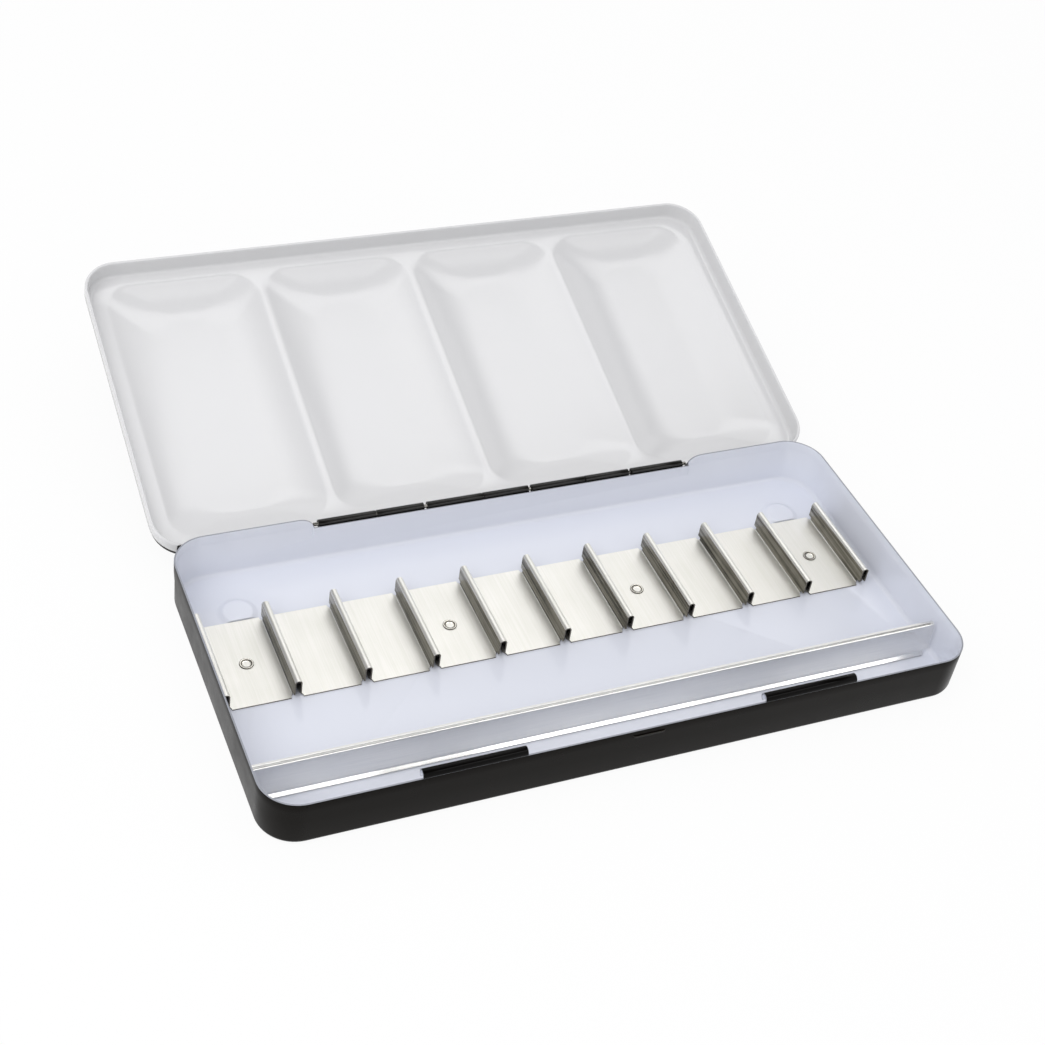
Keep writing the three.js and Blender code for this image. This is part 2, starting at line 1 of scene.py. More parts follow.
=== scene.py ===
"""A flat metal box for watercolour pans, open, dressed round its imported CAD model.

Pieces are modelled in millimetres and set down in metres in the CAD frame: +X along the hinge,
+Y from the front wall to the hinge, +Z up, with the origin under the middle of the base.
"""

import json
import logging
import math
from collections.abc import Callable, Iterator, Sequence
from contextlib import contextmanager
from dataclasses import dataclass
from enum import Enum
from typing import ClassVar

import bmesh
import bpy
from mathutils import Matrix, Vector

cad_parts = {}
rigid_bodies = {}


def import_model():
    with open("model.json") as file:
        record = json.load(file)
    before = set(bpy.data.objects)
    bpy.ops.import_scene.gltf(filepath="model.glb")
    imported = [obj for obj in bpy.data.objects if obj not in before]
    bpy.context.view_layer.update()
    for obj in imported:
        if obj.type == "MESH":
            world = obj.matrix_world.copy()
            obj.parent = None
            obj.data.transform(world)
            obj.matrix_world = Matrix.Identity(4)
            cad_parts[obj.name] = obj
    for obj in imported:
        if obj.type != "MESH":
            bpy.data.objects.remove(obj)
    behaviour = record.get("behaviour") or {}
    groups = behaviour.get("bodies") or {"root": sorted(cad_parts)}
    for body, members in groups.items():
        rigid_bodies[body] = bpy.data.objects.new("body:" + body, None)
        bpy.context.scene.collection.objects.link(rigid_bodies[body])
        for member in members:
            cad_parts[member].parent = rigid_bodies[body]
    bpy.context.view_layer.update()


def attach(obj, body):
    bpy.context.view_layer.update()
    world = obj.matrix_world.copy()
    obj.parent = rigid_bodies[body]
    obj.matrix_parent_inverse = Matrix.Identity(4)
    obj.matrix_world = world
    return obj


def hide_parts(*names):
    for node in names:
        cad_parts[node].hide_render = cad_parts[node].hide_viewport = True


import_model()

log = logging.getLogger("paint_box")

MM = 0.001
NEAR = 0.001  # millimetres within which two places count as the same
ON_OUTLINE = 0.01  # the same across a rounded outline, whose corners are short straight edges
CORNER_STEPS = 14
LINE_STRETCH = 60  # how many times as long as wide a rolling line is drawn
SMOOTH_ANGLE = math.radians(32)
CUT_EDGE_ANGLE = math.radians(58)  # an edge sharper than this is a cut edge of the sheet

Piece = bpy.types.Object
Material = bpy.types.Material
Tree = bpy.types.NodeTree
Socket = bpy.types.NodeSocket
Point = tuple[float, float, float]
Flat = tuple[float, float]


class Body(Enum):
    """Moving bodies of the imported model."""

    BASE = "base"
    LID = "lid"
    DIVIDER = "divider"


class Grain(Enum):
    """Direction in which a sheet was rolled, as a unit vector."""

    ALONG_X = (1.0, 0.0, 0.0)
    ALONG_Y = (0.0, 1.0, 0.0)


class Kind(Enum):
    """What is picked of a mesh that is being edited."""

    VERTEX = "VERT"
    EDGE = "EDGE"
    FACE = "FACE"


# Modelling with operators


def make_active(piece: Piece, others: Sequence[Piece] = ()) -> None:
    """Selects a piece, and others beside it, and makes the piece the active one.

    Args:
        piece: The object that becomes active.
        others: Objects that are selected with it.
    """
    bpy.ops.object.select_all(action="DESELECT")
    for each in (*others, piece):
        each.select_set(True)
    bpy.context.view_layer.objects.active = piece


@contextmanager
def editing(piece: Piece) -> Iterator[None]:
    """Opens a piece in edit mode with nothing selected, and leaves edit mode at the end.

    Args:
        piece: The mesh object to edit.
    """
    make_active(piece)
    bpy.ops.object.mode_set(mode="EDIT")
    bpy.ops.mesh.select_all(action="DESELECT")
    yield
    bpy.ops.object.mode_set(mode="OBJECT")


@contextmanager
def drawing(name: str) -> Iterator[Piece]:
    """Starts an empty piece at the origin, and keeps it in edit mode while its shape is drawn.

    Args:
        name: The piece's name.

    Yields:
        The new object.
    """
    bpy.ops.object.select_all(action="DESELECT")
    bpy.ops.mesh.primitive_plane_add(size=1)
    piece = bpy.context.active_object
    piece.name = piece.data.name = name
    with editing(piece):
        bpy.ops.mesh.select_all(action="SELECT")
        bpy.ops.mesh.delete(type="VERT")
        yield piece


def deselect(kind: Kind) -> None:
    """Deselects all of the mesh being edited and turns to one kind.

    Args:
        kind: What is picked next.
    """
    bpy.ops.mesh.select_mode(type=kind.value)
    bpy.ops.mesh.select_all(action="DESELECT")


def pick(kind: Kind, test: Callable[..., bool], open_only: bool = False) -> None:
    """Selects the vertices, edges or faces of the mesh being edited that pass a test.

    Args:
        kind: What is picked.
        test: Takes a vertex's place, the places of an edge's two ends, or a face's middle and normal.
        open_only: Whether only edges with at most one face count.
    """
    deselect(kind)
    mesh = bpy.context.edit_object.data
    shape = bmesh.from_edit_mesh(mesh)
    if kind is Kind.VERTEX:
        found = [v for v in shape.verts if test(v.co)]
    elif kind is Kind.EDGE:
        edges = [e for e in shape.edges if not open_only or len(e.link_faces) < 2]
        found = [e for e in edges if test(e.verts[0].co, e.verts[1].co)]
    else:
        shape.normal_update()
        found = [f for f in shape.faces if test(f.calc_center_median(), f.normal)]
    for part in found:
        part.select_set(True)
    shape.select_flush_mode()
    bmesh.update_edit_mesh(mesh)


def near(a: float, b: float) -> bool:
    """Whether two lengths in millimetres are the same."""
    return abs(a - b) < NEAR


@dataclass(frozen=True)
class Sides:
    """The four sides of a rectangle seen from above."""

    left: float
    right: float
    front: float
    back: float

    @property
    def middle(self) -> Flat:
        """Its middle on X and Y."""
        return (self.left + self.right) / 2, (self.front + self.back) / 2

    @property
    def size(self) -> Flat:
        """Its width and its depth."""
        return self.right - self.left, self.back - self.front

    def grown(self, out: float) -> "Sides":
        """The rectangle with each side moved out by a distance."""
        return Sides(self.left - out, self.right + out, self.front - out, self.back + out)


@dataclass(frozen=True)
class Ring:
    """A rounded rectangle's outline at one height."""

    sides: Sides
    corner: float
    height: float

    def outside(self, place: Vector) -> float:
        """How far a place lies outside the outline, seen from above.

        Args:
            place: The place.

        Returns:
            The distance in millimetres, less than 0 inside the outline.
        """
        across, along = (
            abs(at - middle) - size / 2 + self.corner
            for at, middle, size in zip(place.xy, self.sides.middle, self.sides.size)
        )
        return math.hypot(max(across, 0), max(along, 0)) + min(max(across, along), 0) - self.corner

    def holds(self, place: Vector) -> bool:
        """Whether a place lies on the outline."""
        return near(place.z, self.height) and abs(self.outside(place)) < ON_OUTLINE

    def add(self) -> None:
        """Adds the outline to the mesh being edited."""
        centre = (*self.sides.middle, self.height)
        deselect(Kind.VERTEX)
        bpy.ops.mesh.primitive_plane_add(size=1, location=centre)
        bpy.ops.transform.resize(value=(*self.sides.size, 1), center_override=centre)
        bpy.ops.mesh.bevel(affect="VERTICES", offset=self.corner, segments=CORNER_STEPS, profile=0.5)
        bpy.ops.mesh.delete(type="ONLY_FACE")


def add_rings(rings: Sequence[Ring]) -> None:
    """Adds outlines one after another, each joined to the one before it by a band of faces.

    Args:
        rings: The outlines in order.
    """
    rings[0].add()
    for before, ring in zip(rings, rings[1:]):
        ring.add()
        pick(
            Kind.EDGE,
            lambda a, b: (before.holds(a) and before.holds(b)) or (ring.holds(a) and ring.holds(b)),
            open_only=True,
        )
        bpy.ops.mesh.bridge_edge_loops()


def bend_rings(walls: Sides, corner: float, bend: float, floor: float, steps: int) -> list[Ring]:
    """Outlines of the bend between a pan's floor and its walls.

    Args:
        walls: Inner faces of the walls.
        corner: Inner radius of the pan's corners.
        bend: Inner radius of the bend.
        floor: Height of the floor.
        steps: How many bands of faces make the bend.

    Returns:
        The outlines, from the floor upwards.
    """
    rings = []
    for step in range(steps + 1):
        angle = math.pi / 2 * step / steps
        inward = bend * (1 - math.sin(angle))
        rings.append(Ring(walls.grown(-inward), corner - inward, floor + bend * (1 - math.cos(angle))))
    return rings


def draw_line(points: Sequence[Point]) -> None:
    """Draws a line of edges in the mesh being edited, and leaves it selected.

    Args:
        points: The places that the line goes through.
    """
    deselect(Kind.VERTEX)
    bpy.ops.mesh.primitive_plane_add(size=1, location=points[0])
    bpy.ops.mesh.merge(type="CENTER")
    for here, there in zip(points, points[1:]):
        step = tuple(b - a for a, b in zip(here, there))
        bpy.ops.mesh.extrude_vertices_move(TRANSFORM_OT_translate={"value": step})
    bpy.ops.mesh.select_linked()


def run_out(step: Point) -> None:
    """Extrudes what is selected by one step."""
    bpy.ops.mesh.extrude_region_move(TRANSFORM_OT_translate={"value": step})


def round_edges(test: Callable[[Vector, Vector], bool], offset: float, steps: int) -> None:
    """Rounds edges of the mesh being edited.

    Args:
        test: Takes the places of an edge's two ends.
        offset: How far from the edge the rounding starts.
        steps: How many bands of faces make the rounding.
    """
    pick(Kind.EDGE, test)
    bpy.ops.mesh.bevel(affect="EDGES", offset=offset, segments=steps, profile=0.5)


def merge_doubles() -> None:
    """Merges what lies twice in the mesh being edited, and leaves all of it selected."""
    bpy.ops.mesh.select_all(action="SELECT")
    bpy.ops.mesh.remove_doubles(threshold=NEAR / 2)


def face_outwards() -> None:
    """Turns every face of the mesh being edited outwards."""
    bpy.ops.mesh.select_all(action="SELECT")
    bpy.ops.mesh.normals_make_consistent(inside=False)


def face_upwards() -> None:
    """Turns every face of the open pan being edited towards its inside, so that its floor faces up."""
    merge_doubles()
    bpy.ops.mesh.normals_make_consistent(inside=True)
    shape = bmesh.from_edit_mesh(bpy.context.edit_object.data)
    if max(shape.faces, key=lambda face: face.calc_area()).normal.z < 0:
        bpy.ops.mesh.flip_normals()


def spin_round(axis: Point, steps: int) -> None:
    """Spins the drawn line once round an axis through the origin and closes the shape."""
    bpy.ops.mesh.spin(steps=steps, angle=2 * math.pi, center=(0, 0, 0), axis=axis)
    merge_doubles()
    face_outwards()


def apply_modifier(piece: Piece, kind: str, **settings: object) -> None:
    """Adds one modifier to a piece and applies it.

    Args:
        piece: The mesh object.
        kind: The modifier's type, such as SOLIDIFY.
        **settings: The modifier's settings by name.
    """
    make_active(piece)
    modifier = piece.modifiers.new(kind.title(), kind)
    for key, value in settings.items():
        setattr(modifier, key, value)
    bpy.ops.object.modifier_apply(modifier=modifier.name)


def thicken(
    piece: Piece, finishes: Sequence[Material], sheet: float, offset: float = -1.0, edge: float = 0.0
) -> None:
    """Gives a drawn sheet its thickness and its finishes.

    Args:
        piece: The mesh object.
        finishes: Finish of the drawn side, of the new side and of the edge.
        sheet: Thickness of the sheet.
        offset: -1 grows it away from the faces' normals, 0 to both sides.
        edge: Width of the rounding along its cut edges, or 0.
    """
    slots = list(dict.fromkeys(finishes))
    for finish in slots:
        piece.data.materials.append(finish)
    apply_modifier(
        piece, "SOLIDIFY", thickness=sheet, offset=offset, use_even_offset=offset == 0,
        material_offset=slots.index(finishes[1]), material_offset_rim=slots.index(finishes[2]),
    )
    if edge > 0:
        apply_modifier(
            piece, "BEVEL", width=edge, segments=2, limit_method="ANGLE", angle_limit=CUT_EDGE_ANGLE,
            use_clamp_overlap=True,
        )


@dataclass(frozen=True)
class Punch:
    """A round punch that is driven through a sheet.

    Attributes:
        radius: Its radius.
        depth: Its length.
        steps: How many sides stand for its roundness.
        turn: How far it is turned about each axis, from upright.
    """

    radius: float
    depth: float
    steps: int
    turn: Point = (0.0, 0.0, 0.0)

    def drive(self, piece: Piece, centres: Sequence[Point], finish: Material) -> None:
        """Punches a sheet at each place.

        Args:
            piece: The sheet.
            centres: Middles of the punch at each place.
            finish: What the cut edges look like.
        """
        with drawing(f"{piece.name}_punches") as punches:
            for centre in centres:
                bpy.ops.mesh.primitive_cylinder_add(
                    vertices=self.steps, radius=self.radius, depth=self.depth, location=centre,
                    rotation=self.turn,
                )
        punches.data.materials.append(finish)
        apply_modifier(
            piece, "BOOLEAN", object=punches, operation="DIFFERENCE", solver="EXACT",
            material_mode="TRANSFER",
        )
        bpy.data.objects.remove(punches)


def copy_of(piece: Piece, name: str, across: float = 0.0) -> Piece:
    """Copies a piece with a mesh of its own.

    Args:
        piece: The piece to copy.
        name: The copy's name.
        across: How far the copy moves along X.

    Returns:
        The copy, with its place in its mesh.
    """
    twin = piece.copy()
    twin.data = piece.data.copy()
    twin.name = twin.data.name = name
    twin.data.transform(Matrix.Translation((across, 0, 0)))
    bpy.context.scene.collection.objects.link(twin)
    return twin


def paint_faces(piece: Piece, finish: Material, test: Callable[[Vector, Vector], bool]) -> None:
    """Gives some faces of a piece a finish of their own.

    Args:
        piece: The mesh object.
        finish: The finish, added to the piece's own.
        test: Takes a face's middle and its normal.
    """
    piece.data.materials.append(finish)
    piece.active_material_index = len(piece.data.materials) - 1
    with editing(piece):
        pick(Kind.FACE, test)
        bpy.ops.object.material_slot_assign()


def set_down(
    piece: Piece, body: Body, nodes: Sequence[str] = (), place: Matrix | None = None
) -> None:
    """Smooths a finished piece, sets it down in metres in the CAD frame and lets it ride.

    Args:
        piece: The finished mesh, in millimetres.
        body: The CAD body that it rides on.
        nodes: CAD nodes that it stands for.
        place: Turn and shift to its place, or None where it is drawn in place.
    """
    if place is not None:
        piece.data.transform(place)
    piece.data.transform(Matrix.Scale(MM, 4))
    make_active(piece)
    bpy.ops.object.shade_smooth_by_angle(angle=SMOOTH_ANGLE)
    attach(piece, body.value)
    if nodes:
        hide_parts(*nodes)
    log.info("%s: %d faces on %s", piece.name, len(piece.data.polygons), body.value)


# Finishes


def linear(code: str) -> tuple[float, float, float, float]:
    """Turns an sRGB hex colour to linear.

    Args:
        code: Six hex digits.

    Returns:
        Linear red, green, blue and an alpha of 1.
    """
    parts = [int(code[i:i + 2], 16) / 255 for i in (0, 2, 4)]
    red, green, blue = [p / 12.92 if p <= 0.04045 else ((p + 0.055) / 1.055) ** 2.4 for p in parts]
    return red, green, blue, 1.0


def empty_tree(owner: Material | bpy.types.World) -> Tree:
    """Gives a material or a world an empty node tree.

    Args:
        owner: The material or world.

    Returns:
        Its node tree.
    """
    owner.use_nodes = True
    owner.node_tree.nodes.clear()
    return owner.node_tree


def add_node(
    tree: Tree, kind: str, inputs: dict[str | int, object] | None = None, **settings: object
) -> bpy.types.Node:
    """Adds a node with its settings, values and links.

    Args:
        tree: The node tree.
        kind: The node's type name.
        inputs: Values or sockets by input name or number.
        **settings: The node's own settings.

    Returns:
        The new node.
    """
    node = tree.nodes.new(kind)
    for key, value in settings.items():
        setattr(node, key, value)
    for key, value in (inputs or {}).items():
        if isinstance(value, Socket):
            tree.links.new(value, node.inputs[key])
        else:
            node.inputs[key].default_value = value
    return node


@dataclass(frozen=True)
class Finish:
    """What every finish has: two near colours, an uneven gloss and a fine relief.

    Attributes:
        name: Name of the material.
        colour: sRGB hex colour.
        worn: sRGB hex colour of its thinner or duller places.
        roughness: Mean roughness.
        shine_from: Values of the gloss's pattern at its smoothest and its dullest.
        shine_swing: Shares of the mean roughness at those two.
    """

    name: str
    colour: str
    worn: str
    roughness: float
    shine_from: ClassVar[Flat]
    shine_swing: ClassVar[Flat]

    def begin(self) -> tuple[Material, Tree, Socket]:
        """Starts the material.

        Returns:
            The material, its node tree and the places on the piece, in metres.
        """
        material = bpy.data.materials.new(self.name)
        tree = empty_tree(material)
        return material, tree, add_node(tree, "ShaderNodeTexCoord").outputs["Object"]

    def dress(
        self, tree: Tree, tint: Socket, shine: Socket, relief: Socket, height: float,
        shading: dict[str, object],
    ) -> None:
        """Wires the patterns to a shader, and the shader to the output.

        Args:
            tree: The material's node tree.
            tint: Share of the worn colour.
            shine: Pattern of the gloss.
            relief: Pattern of the relief.
            height: Height of the relief, in millimetres.
            shading: The shader's other values and sockets by input name.
        """
        mix = add_node(
            tree, "ShaderNodeMix", {"Factor": tint, "A": linear(self.colour), "B": linear(self.worn)},
            data_type="RGBA",
        )
        gloss = add_node(
            tree, "ShaderNodeMapRange",
            {
                "Value": shine, "From Min": self.shine_from[0], "From Max": self.shine_from[1],
                "To Min": self.roughness * self.shine_swing[0],
                "To Max": self.roughness * self.shine_swing[1],
            },
        )
        bump = add_node(
            tree, "ShaderNodeBump", {"Height": relief, "Strength": 1.0, "Distance": height * MM}
        )
        shader = add_node(
            tree, "ShaderNodeBsdfPrincipled",
            {
                "Base Color": mix.outputs["Result"], "Roughness": gloss.outputs["Result"],
                "Normal": bump.outputs["Normal"], **shading,
            },
        )
        add_node(tree, "ShaderNodeOutputMaterial", {"Surface": shader.outputs["BSDF"]})


@dataclass(frozen=True)
class Enamel(Finish):
    """Stoved enamel, sprayed on tinplate and baked: a hard even gloss, a little clouded.

    Attributes:
        ior: Refractive index of the lacquer.
        peel_size: Width of one swell of the orange peel that spraying leaves.
        peel_height: Height of a swell.
        cloud_size: Width of a place where the coat is thinner.
        rub_size: Width of a place that hands have rubbed.
    """

    shine_from = (0.3, 0.7)
    shine_swing = (0.85, 1.2)
    ior: float = 1.5
    peel_size: float = 1.3
    peel_height: float = 0.004
    cloud_size: float = 38.0
    rub_size: float = 9.0

    def build(self) -> Material:
        """Makes the material.

        Returns:
            The material.
        """
        material, tree, places = self.begin()
        # Each pattern's size, detail and roughness: clouds, rubbed places and orange peel.
        patterns = ((self.cloud_size, 3.0, 0.55), (self.rub_size, 5.0, 0.65), (self.peel_size, 1.0, 0.4))
        cloud, rub, peel = [
            add_node(
                tree, "ShaderNodeTexNoise",
                {"Vector": places, "Scale": 1 / (size * MM), "Detail": detail, "Roughness": roughness},
            ).outputs["Fac"]
            for size, detail, roughness in patterns
        ]
        self.dress(tree, cloud, rub, peel, self.peel_height, {"IOR": self.ior})
        return material


@dataclass(frozen=True)
class RolledMetal(Finish):
    """Bare bright metal sheet: long fine rolling lines over a soft mirror.

    Real rolling lines are 0.02 to 0.05 mm apart, too fine to show in the render, so they are drawn
    as coarse as they need to show.

    Attributes:
        grain: Direction of the rolling lines.
        line_width: Spacing of the rolling lines.
        line_height: Depth of the rolling lines.
        spread: How much further light spreads across the grain than along it, from 0 to 1.
        stain_size: Width of a stained place.
        stain_share: How strongly stains count beside the lines.
        wear_from: Values of lines and stains together between which the metal dulls.
    """

    shine_from = (0.4, 1.0)
    shine_swing = (0.85, 1.15)
    grain: Grain = Grain.ALONG_X
    line_width: float = 0.35
    line_height: float = 0.0006
    spread: float = 0.0
    stain_size: float = 14.0
    stain_share: float = 0.4
    wear_from: Flat = (0.52, 0.88)

    def build(self) -> Material:
        """Makes the material.

        Returns:
            The material.
        """
        material, tree, places = self.begin()
        squeeze = tuple(1 / LINE_STRETCH if share else 1.0 for share in self.grain.value)
        drawn = add_node(tree, "ShaderNodeMapping", {"Vector": places, "Scale": squeeze})
        lines = add_node(
            tree, "ShaderNodeTexNoise",
            {"Vector": drawn.outputs["Vector"], "Scale": 1 / (self.line_width * MM), "Detail": 3.0},
        )
        stain = add_node(
            tree, "ShaderNodeTexNoise",
            {"Vector": places, "Scale": 1 / (self.stain_size * MM), "Detail": 4.0, "Roughness": 0.6},
        )
        both = add_node(
            tree, "ShaderNodeMath",
            {0: stain.outputs["Fac"], 1: self.stain_share, 2: lines.outputs["Fac"]},
            operation="MULTIPLY_ADD",
        ).outputs["Value"]
        wear = add_node(
            tree, "ShaderNodeMapRange",
            {"Value": both, "From Min": self.wear_from[0], "From Max": self.wear_from[1]},
        )
        shading: dict[str, object] = {"Metallic": 1.0}
        if self.spread:
            across = Grain.ALONG_X if self.grain is Grain.ALONG_Y else Grain.ALONG_Y
            tangent = add_node(
                tree, "ShaderNodeVectorTransform", {"Vector": across.value},
                vector_type="VECTOR", convert_from="OBJECT", convert_to="WORLD",
            )
            shading |= {"Tangent": tangent.outputs["Vector"], "Anisotropic": self.spread}
        self.dress(tree, wear.outputs["Result"], both, lines.outputs["Fac"], self.line_height, shading)
        return material


@dataclass(frozen=True)
class Finishes:
    """Every finish on the box, each built once."""

    outside: Material
    curl: Material
    tray_bed: Material
    palette: Material
    cut_edge: Material
    worn_edge: Material
    hinge: Material
    pin: Material
    tin_tray: Material
    tin_flank: Material
    tin_rail: Material
    tin_cut: Material
    tin_inside: Material
    rivet: Material
    tarnish: Material

    @classmethod
    def mixed(cls) -> "Finishes":
        """Builds all finishes.

        Returns:
            The finishes.
        """
        return cls(
            # Black stoved enamel, sprayed thin outside: a warm satin black that only veils what it
            # mirrors, so its index lies under a lacquer's usual 1.5.
            outside=Enamel("black_stoved_enamel", "0e0c09", "120f0c", 0.3, ior=1.18).build(),
            # The same enamel on the rolled latch curls: sharper shine, and a deeper black that is painted
            # shade.
            curl=Enamel("black_gloss_enamel", "060505", "080706", 0.1, ior=1.17).build(),
            # White stoved enamel with a touch of blue, in the base: an even lilac white that mirrors
            # the tray faintly.
            tray_bed=Enamel("lilac_white_enamel", "e5e8f1", "e3e6f0", 0.16, peel_height=0.002).build(),
            # Neutral white stoved enamel, in the lid: soft grey slopes and a broad mild shine.
            palette=Enamel("white_palette_enamel", "dfdfdf", "dededf", 0.16, peel_height=0.0015).build(),
            # Both enamels where they meet on the sheet's sheared edge: a thin grey line along the rim.
            cut_edge=Enamel("enamelled_sheet_edge", "9ea1aa", "8c8f97", 0.4).build(),
            # Black enamel painted grey on the catch's lip: a painted highlight, a faint grey line along its
            # edge.
            worn_edge=Enamel("worn_black_enamel", "4a4741", "3b3933", 0.35).build(),
            # Black enamel on rolled knuckles: one long clear highlight along each roll.
            hinge=Enamel("black_hinge_enamel", "0b0a08", "100e0b", 0.13, ior=1.4).build(),
            # Steel wire drawn through a die: a small soft grey end beside the black knuckles.
            pin=RolledMetal("drawn_steel_wire", "b9b7b2", "8f8c86", 0.25, line_width=0.1).build(),
            # Tinplate from polished rolls: warm, nearly white plates with fine lines along each bay.
            tin_tray=RolledMetal(
                "bright_tinplate_tray", "f6f4ef", "f0efe8", 0.4, Grain.ALONG_Y, line_height=0.0003,
                spread=0.5,
            ).build(),
            # The same tinplate on the ridges' steep flanks, painted darker as painted shade, with dark and
            # light streaks along each ridge scored by the folding die, drawn about 1 mm apart where real
            # scores are 0.1 to 0.3 mm apart.
            tin_flank=RolledMetal(
                "die_scored_tinplate", "bcb8ac", "3a372f", 0.26, Grain.ALONG_Y, 1.1, 0.03, spread=0.3
            ).build(),
            # Tinplate rolled along the rail: a cooler mirror that carries long straight reflections.
            tin_rail=RolledMetal(
                "bright_tinplate_rail", "ecebe8", "e4e4e3", 0.24, line_height=0.0004
            ).build(),
            # Tinplate's sheared edge, where the steel core shows: a dull brown-grey line.
            tin_cut=RolledMetal("cut_tinplate_edge", "7d796f", "615d55", 0.4, line_width=0.2).build(),
            # Tinplate inside the folds and under the plates, painted dark as painted shade in the hollows
            # at the ridges' ends.
            tin_inside=RolledMetal("dull_tinplate_inside", "3c3934", "2e2c28", 0.45, Grain.ALONG_Y).build(),
            # Aluminium rivet, upset by a rivet set: a pale smooth head with a bright ring.
            rivet=RolledMetal("pressed_rivet_metal", "f0ede5", "e4e1d8", 0.26, line_width=0.2).build(),
            # The same metal painted grey-brown as painted shade in the head's crease and along its outline.
            tarnish=RolledMetal("tarnished_rivet_metal", "827d73", "6a665d", 0.4, line_width=0.2).build(),
        )


# Pieces


@dataclass(frozen=True)
class HingeLine:
    """The line that the lid turns about.

    Attributes:
        along: Its place on Y.
        height: Its height.
        opening: How far the lid leans up from level, in degrees.
        recess_half: Half the length over which the walls make room for the hinge.
    """

    along: float = 55.3
    height: float = 12.95
    opening: float = 16.0
    recess_half: float = 66.25

    @property
    def on_base(self) -> Matrix:
        """Moves what is drawn about the line to its place on the base."""
        return Matrix.Translation((0, self.along, self.height))

    @property
    def on_lid(self) -> Matrix:
        """Moves and turns what is drawn about the line to its place on the open lid."""
        return self.on_base @ Matrix.Rotation(math.radians(self.opening), 4, "X")


@dataclass(frozen=True)
class RivetRow:
    """Where the rivets stand, on X one by one and on Y together."""

    across: tuple[float, ...] = (-98.65, -34.15, 30.35, 94.85)
    along: float = 13.6


@dataclass
class BaseTin:
    """The pressed base: a pan with rounded corners, black outside and lilac white inside."""

    finishes: Finishes
    hinge: HingeLine = HingeLine()
    rivets: RivetRow = RivetRow()
    sides: Sides = Sides(-112.75, 112.75, -54.65, 54.65)
    sheet: float = 0.5
    height: float = 16.5
    corner: float = 11.5
    bend: float = 2.1
    bend_steps: int = 6
    back_zone: float = 50.0
    back_step: float = 1.0
    strip_foot: float = 9.4
    strip_top: float = 12.5
    hinge_top: float = 13.3
    shoulder: float = 5.0
    shoulder_steps: int = 8
    pip_places: tuple[float, float] = (-95.25, 95.25)
    pip_y: float = 35.4
    pip_front: float = 31.8
    pip_steps: int = 64
    pip_profile: tuple[Flat, ...] = (
        (6.6, 0.0), (6.3, 0.04), (5.9, 0.16), (5.4, 0.36), (5.0, 0.56), (4.7, 0.7), (4.4, 0.78), (4.0, 0.8)
    )
    pip_room: float = 1.0
    rivet_hole: float = 2.1
    hole_steps: int = 32
    rim_edge: float = 0.1

    def build(self) -> None:
        """Models the shell and sets it down."""
        with drawing("base_tin") as shell:
            self.raise_walls()
            self.drop_hinge_recess()
            self.press_floor()
            face_upwards()
        sides = (self.finishes.tray_bed, self.finishes.outside, self.finishes.cut_edge)
        thicken(shell, sides, self.sheet, edge=self.rim_edge)
        set_down(shell, Body.BASE, ["base_shell"])

    def raise_walls(self) -> None:
        """Draws the inside of the pan from the bend of its floor up to the rim."""
        inside = self.sides.grown(-self.sheet)
        low = Sides(inside.left, inside.right, inside.front, inside.back - self.back_step)
        corner = self.corner - self.sheet
        rings = bend_rings(low, corner, self.bend - self.sheet, self.sheet, self.bend_steps)
        rings.append(Ring(low, corner, self.strip_foot))
        rings += [Ring(inside, corner, top) for top in (self.strip_top, self.hinge_top, self.height)]
        add_rings(rings)

    def at_back(self, place: Vector, above: float) -> bool:
        """Whether a place is on the back wall, above a height."""
        return place.y > self.back_zone and place.z > above

    def drop_hinge_recess(self) -> None:
        """Lowers the back wall at the hinge, with a rounded shoulder at each end."""
        half = self.hinge.recess_half
        columns = []
        for step in range(self.shoulder_steps + 1):
            angle = math.pi / 2 * step / self.shoulder_steps
            across = half + self.shoulder * (1 - math.cos(angle))
            columns.append((across, self.hinge_top + (self.height - self.hinge_top) * math.sin(angle)))
        for across, _ in columns:
            for side in (-1, 1):
                pick(Kind.FACE, lambda middle, _: self.at_back(middle, self.strip_foot - NEAR))
                bpy.ops.mesh.bisect(plane_co=(side * across, 0, 0), plane_no=(1, 0, 0))
        pick(Kind.FACE, lambda middle, _: self.at_back(middle, self.hinge_top) and abs(middle.x) < half)
        bpy.ops.mesh.delete(type="FACE")
        for across, top in columns:
            pick(Kind.VERTEX, lambda v: self.at_back(v, self.height - NEAR) and near(abs(v.x), across))
            bpy.ops.transform.translate(value=(0, 0, top - self.height))
        pick(Kind.VERTEX, lambda v: self.at_back(v, self.strip_foot + NEAR) and abs(v.x) < half + NEAR)
        bpy.ops.transform.translate(value=(0, -self.back_step, 0))

    def press_floor(self) -> None:
        """Fills the floor round the rivet holes and the two pips, which are pressed up from it."""
        for across in self.rivets.across:
            bpy.ops.mesh.primitive_circle_add(
                vertices=self.hole_steps, radius=self.rivet_hole,
                location=(across, self.rivets.along, self.sheet),
            )
        for across in self.pip_places:
            self.press_pip(across)
        pick(Kind.EDGE, lambda a, b: near(a.z, self.sheet) and near(b.z, self.sheet), open_only=True)
        bpy.ops.mesh.fill(use_beauty=True)

    def press_pip(self, across: float) -> None:
        """Draws one pip ring by ring, and cuts it straight where it meets the tray.

        Args:
            across: The pip's middle on X.
        """
        foot = self.pip_profile[0][0]
        reach = foot + self.pip_room
        centre = (across, self.pip_y, self.sheet)
        deselect(Kind.EDGE)
        bpy.ops.mesh.primitive_circle_add(vertices=self.pip_steps, radius=foot, location=centre)
        for (radius, rise), (next_radius, next_rise) in zip(self.pip_profile, self.pip_profile[1:]):
            run_out((0, 0, next_rise - rise))
            share = next_radius / radius
            bpy.ops.transform.resize(value=(share, share, 1), center_override=centre)
        bpy.ops.mesh.edge_face_add()

        def on_pip(place: Vector) -> bool:
            """Whether a place belongs to this pip."""
            return max(abs(place.x - across), abs(place.y - self.pip_y)) < reach

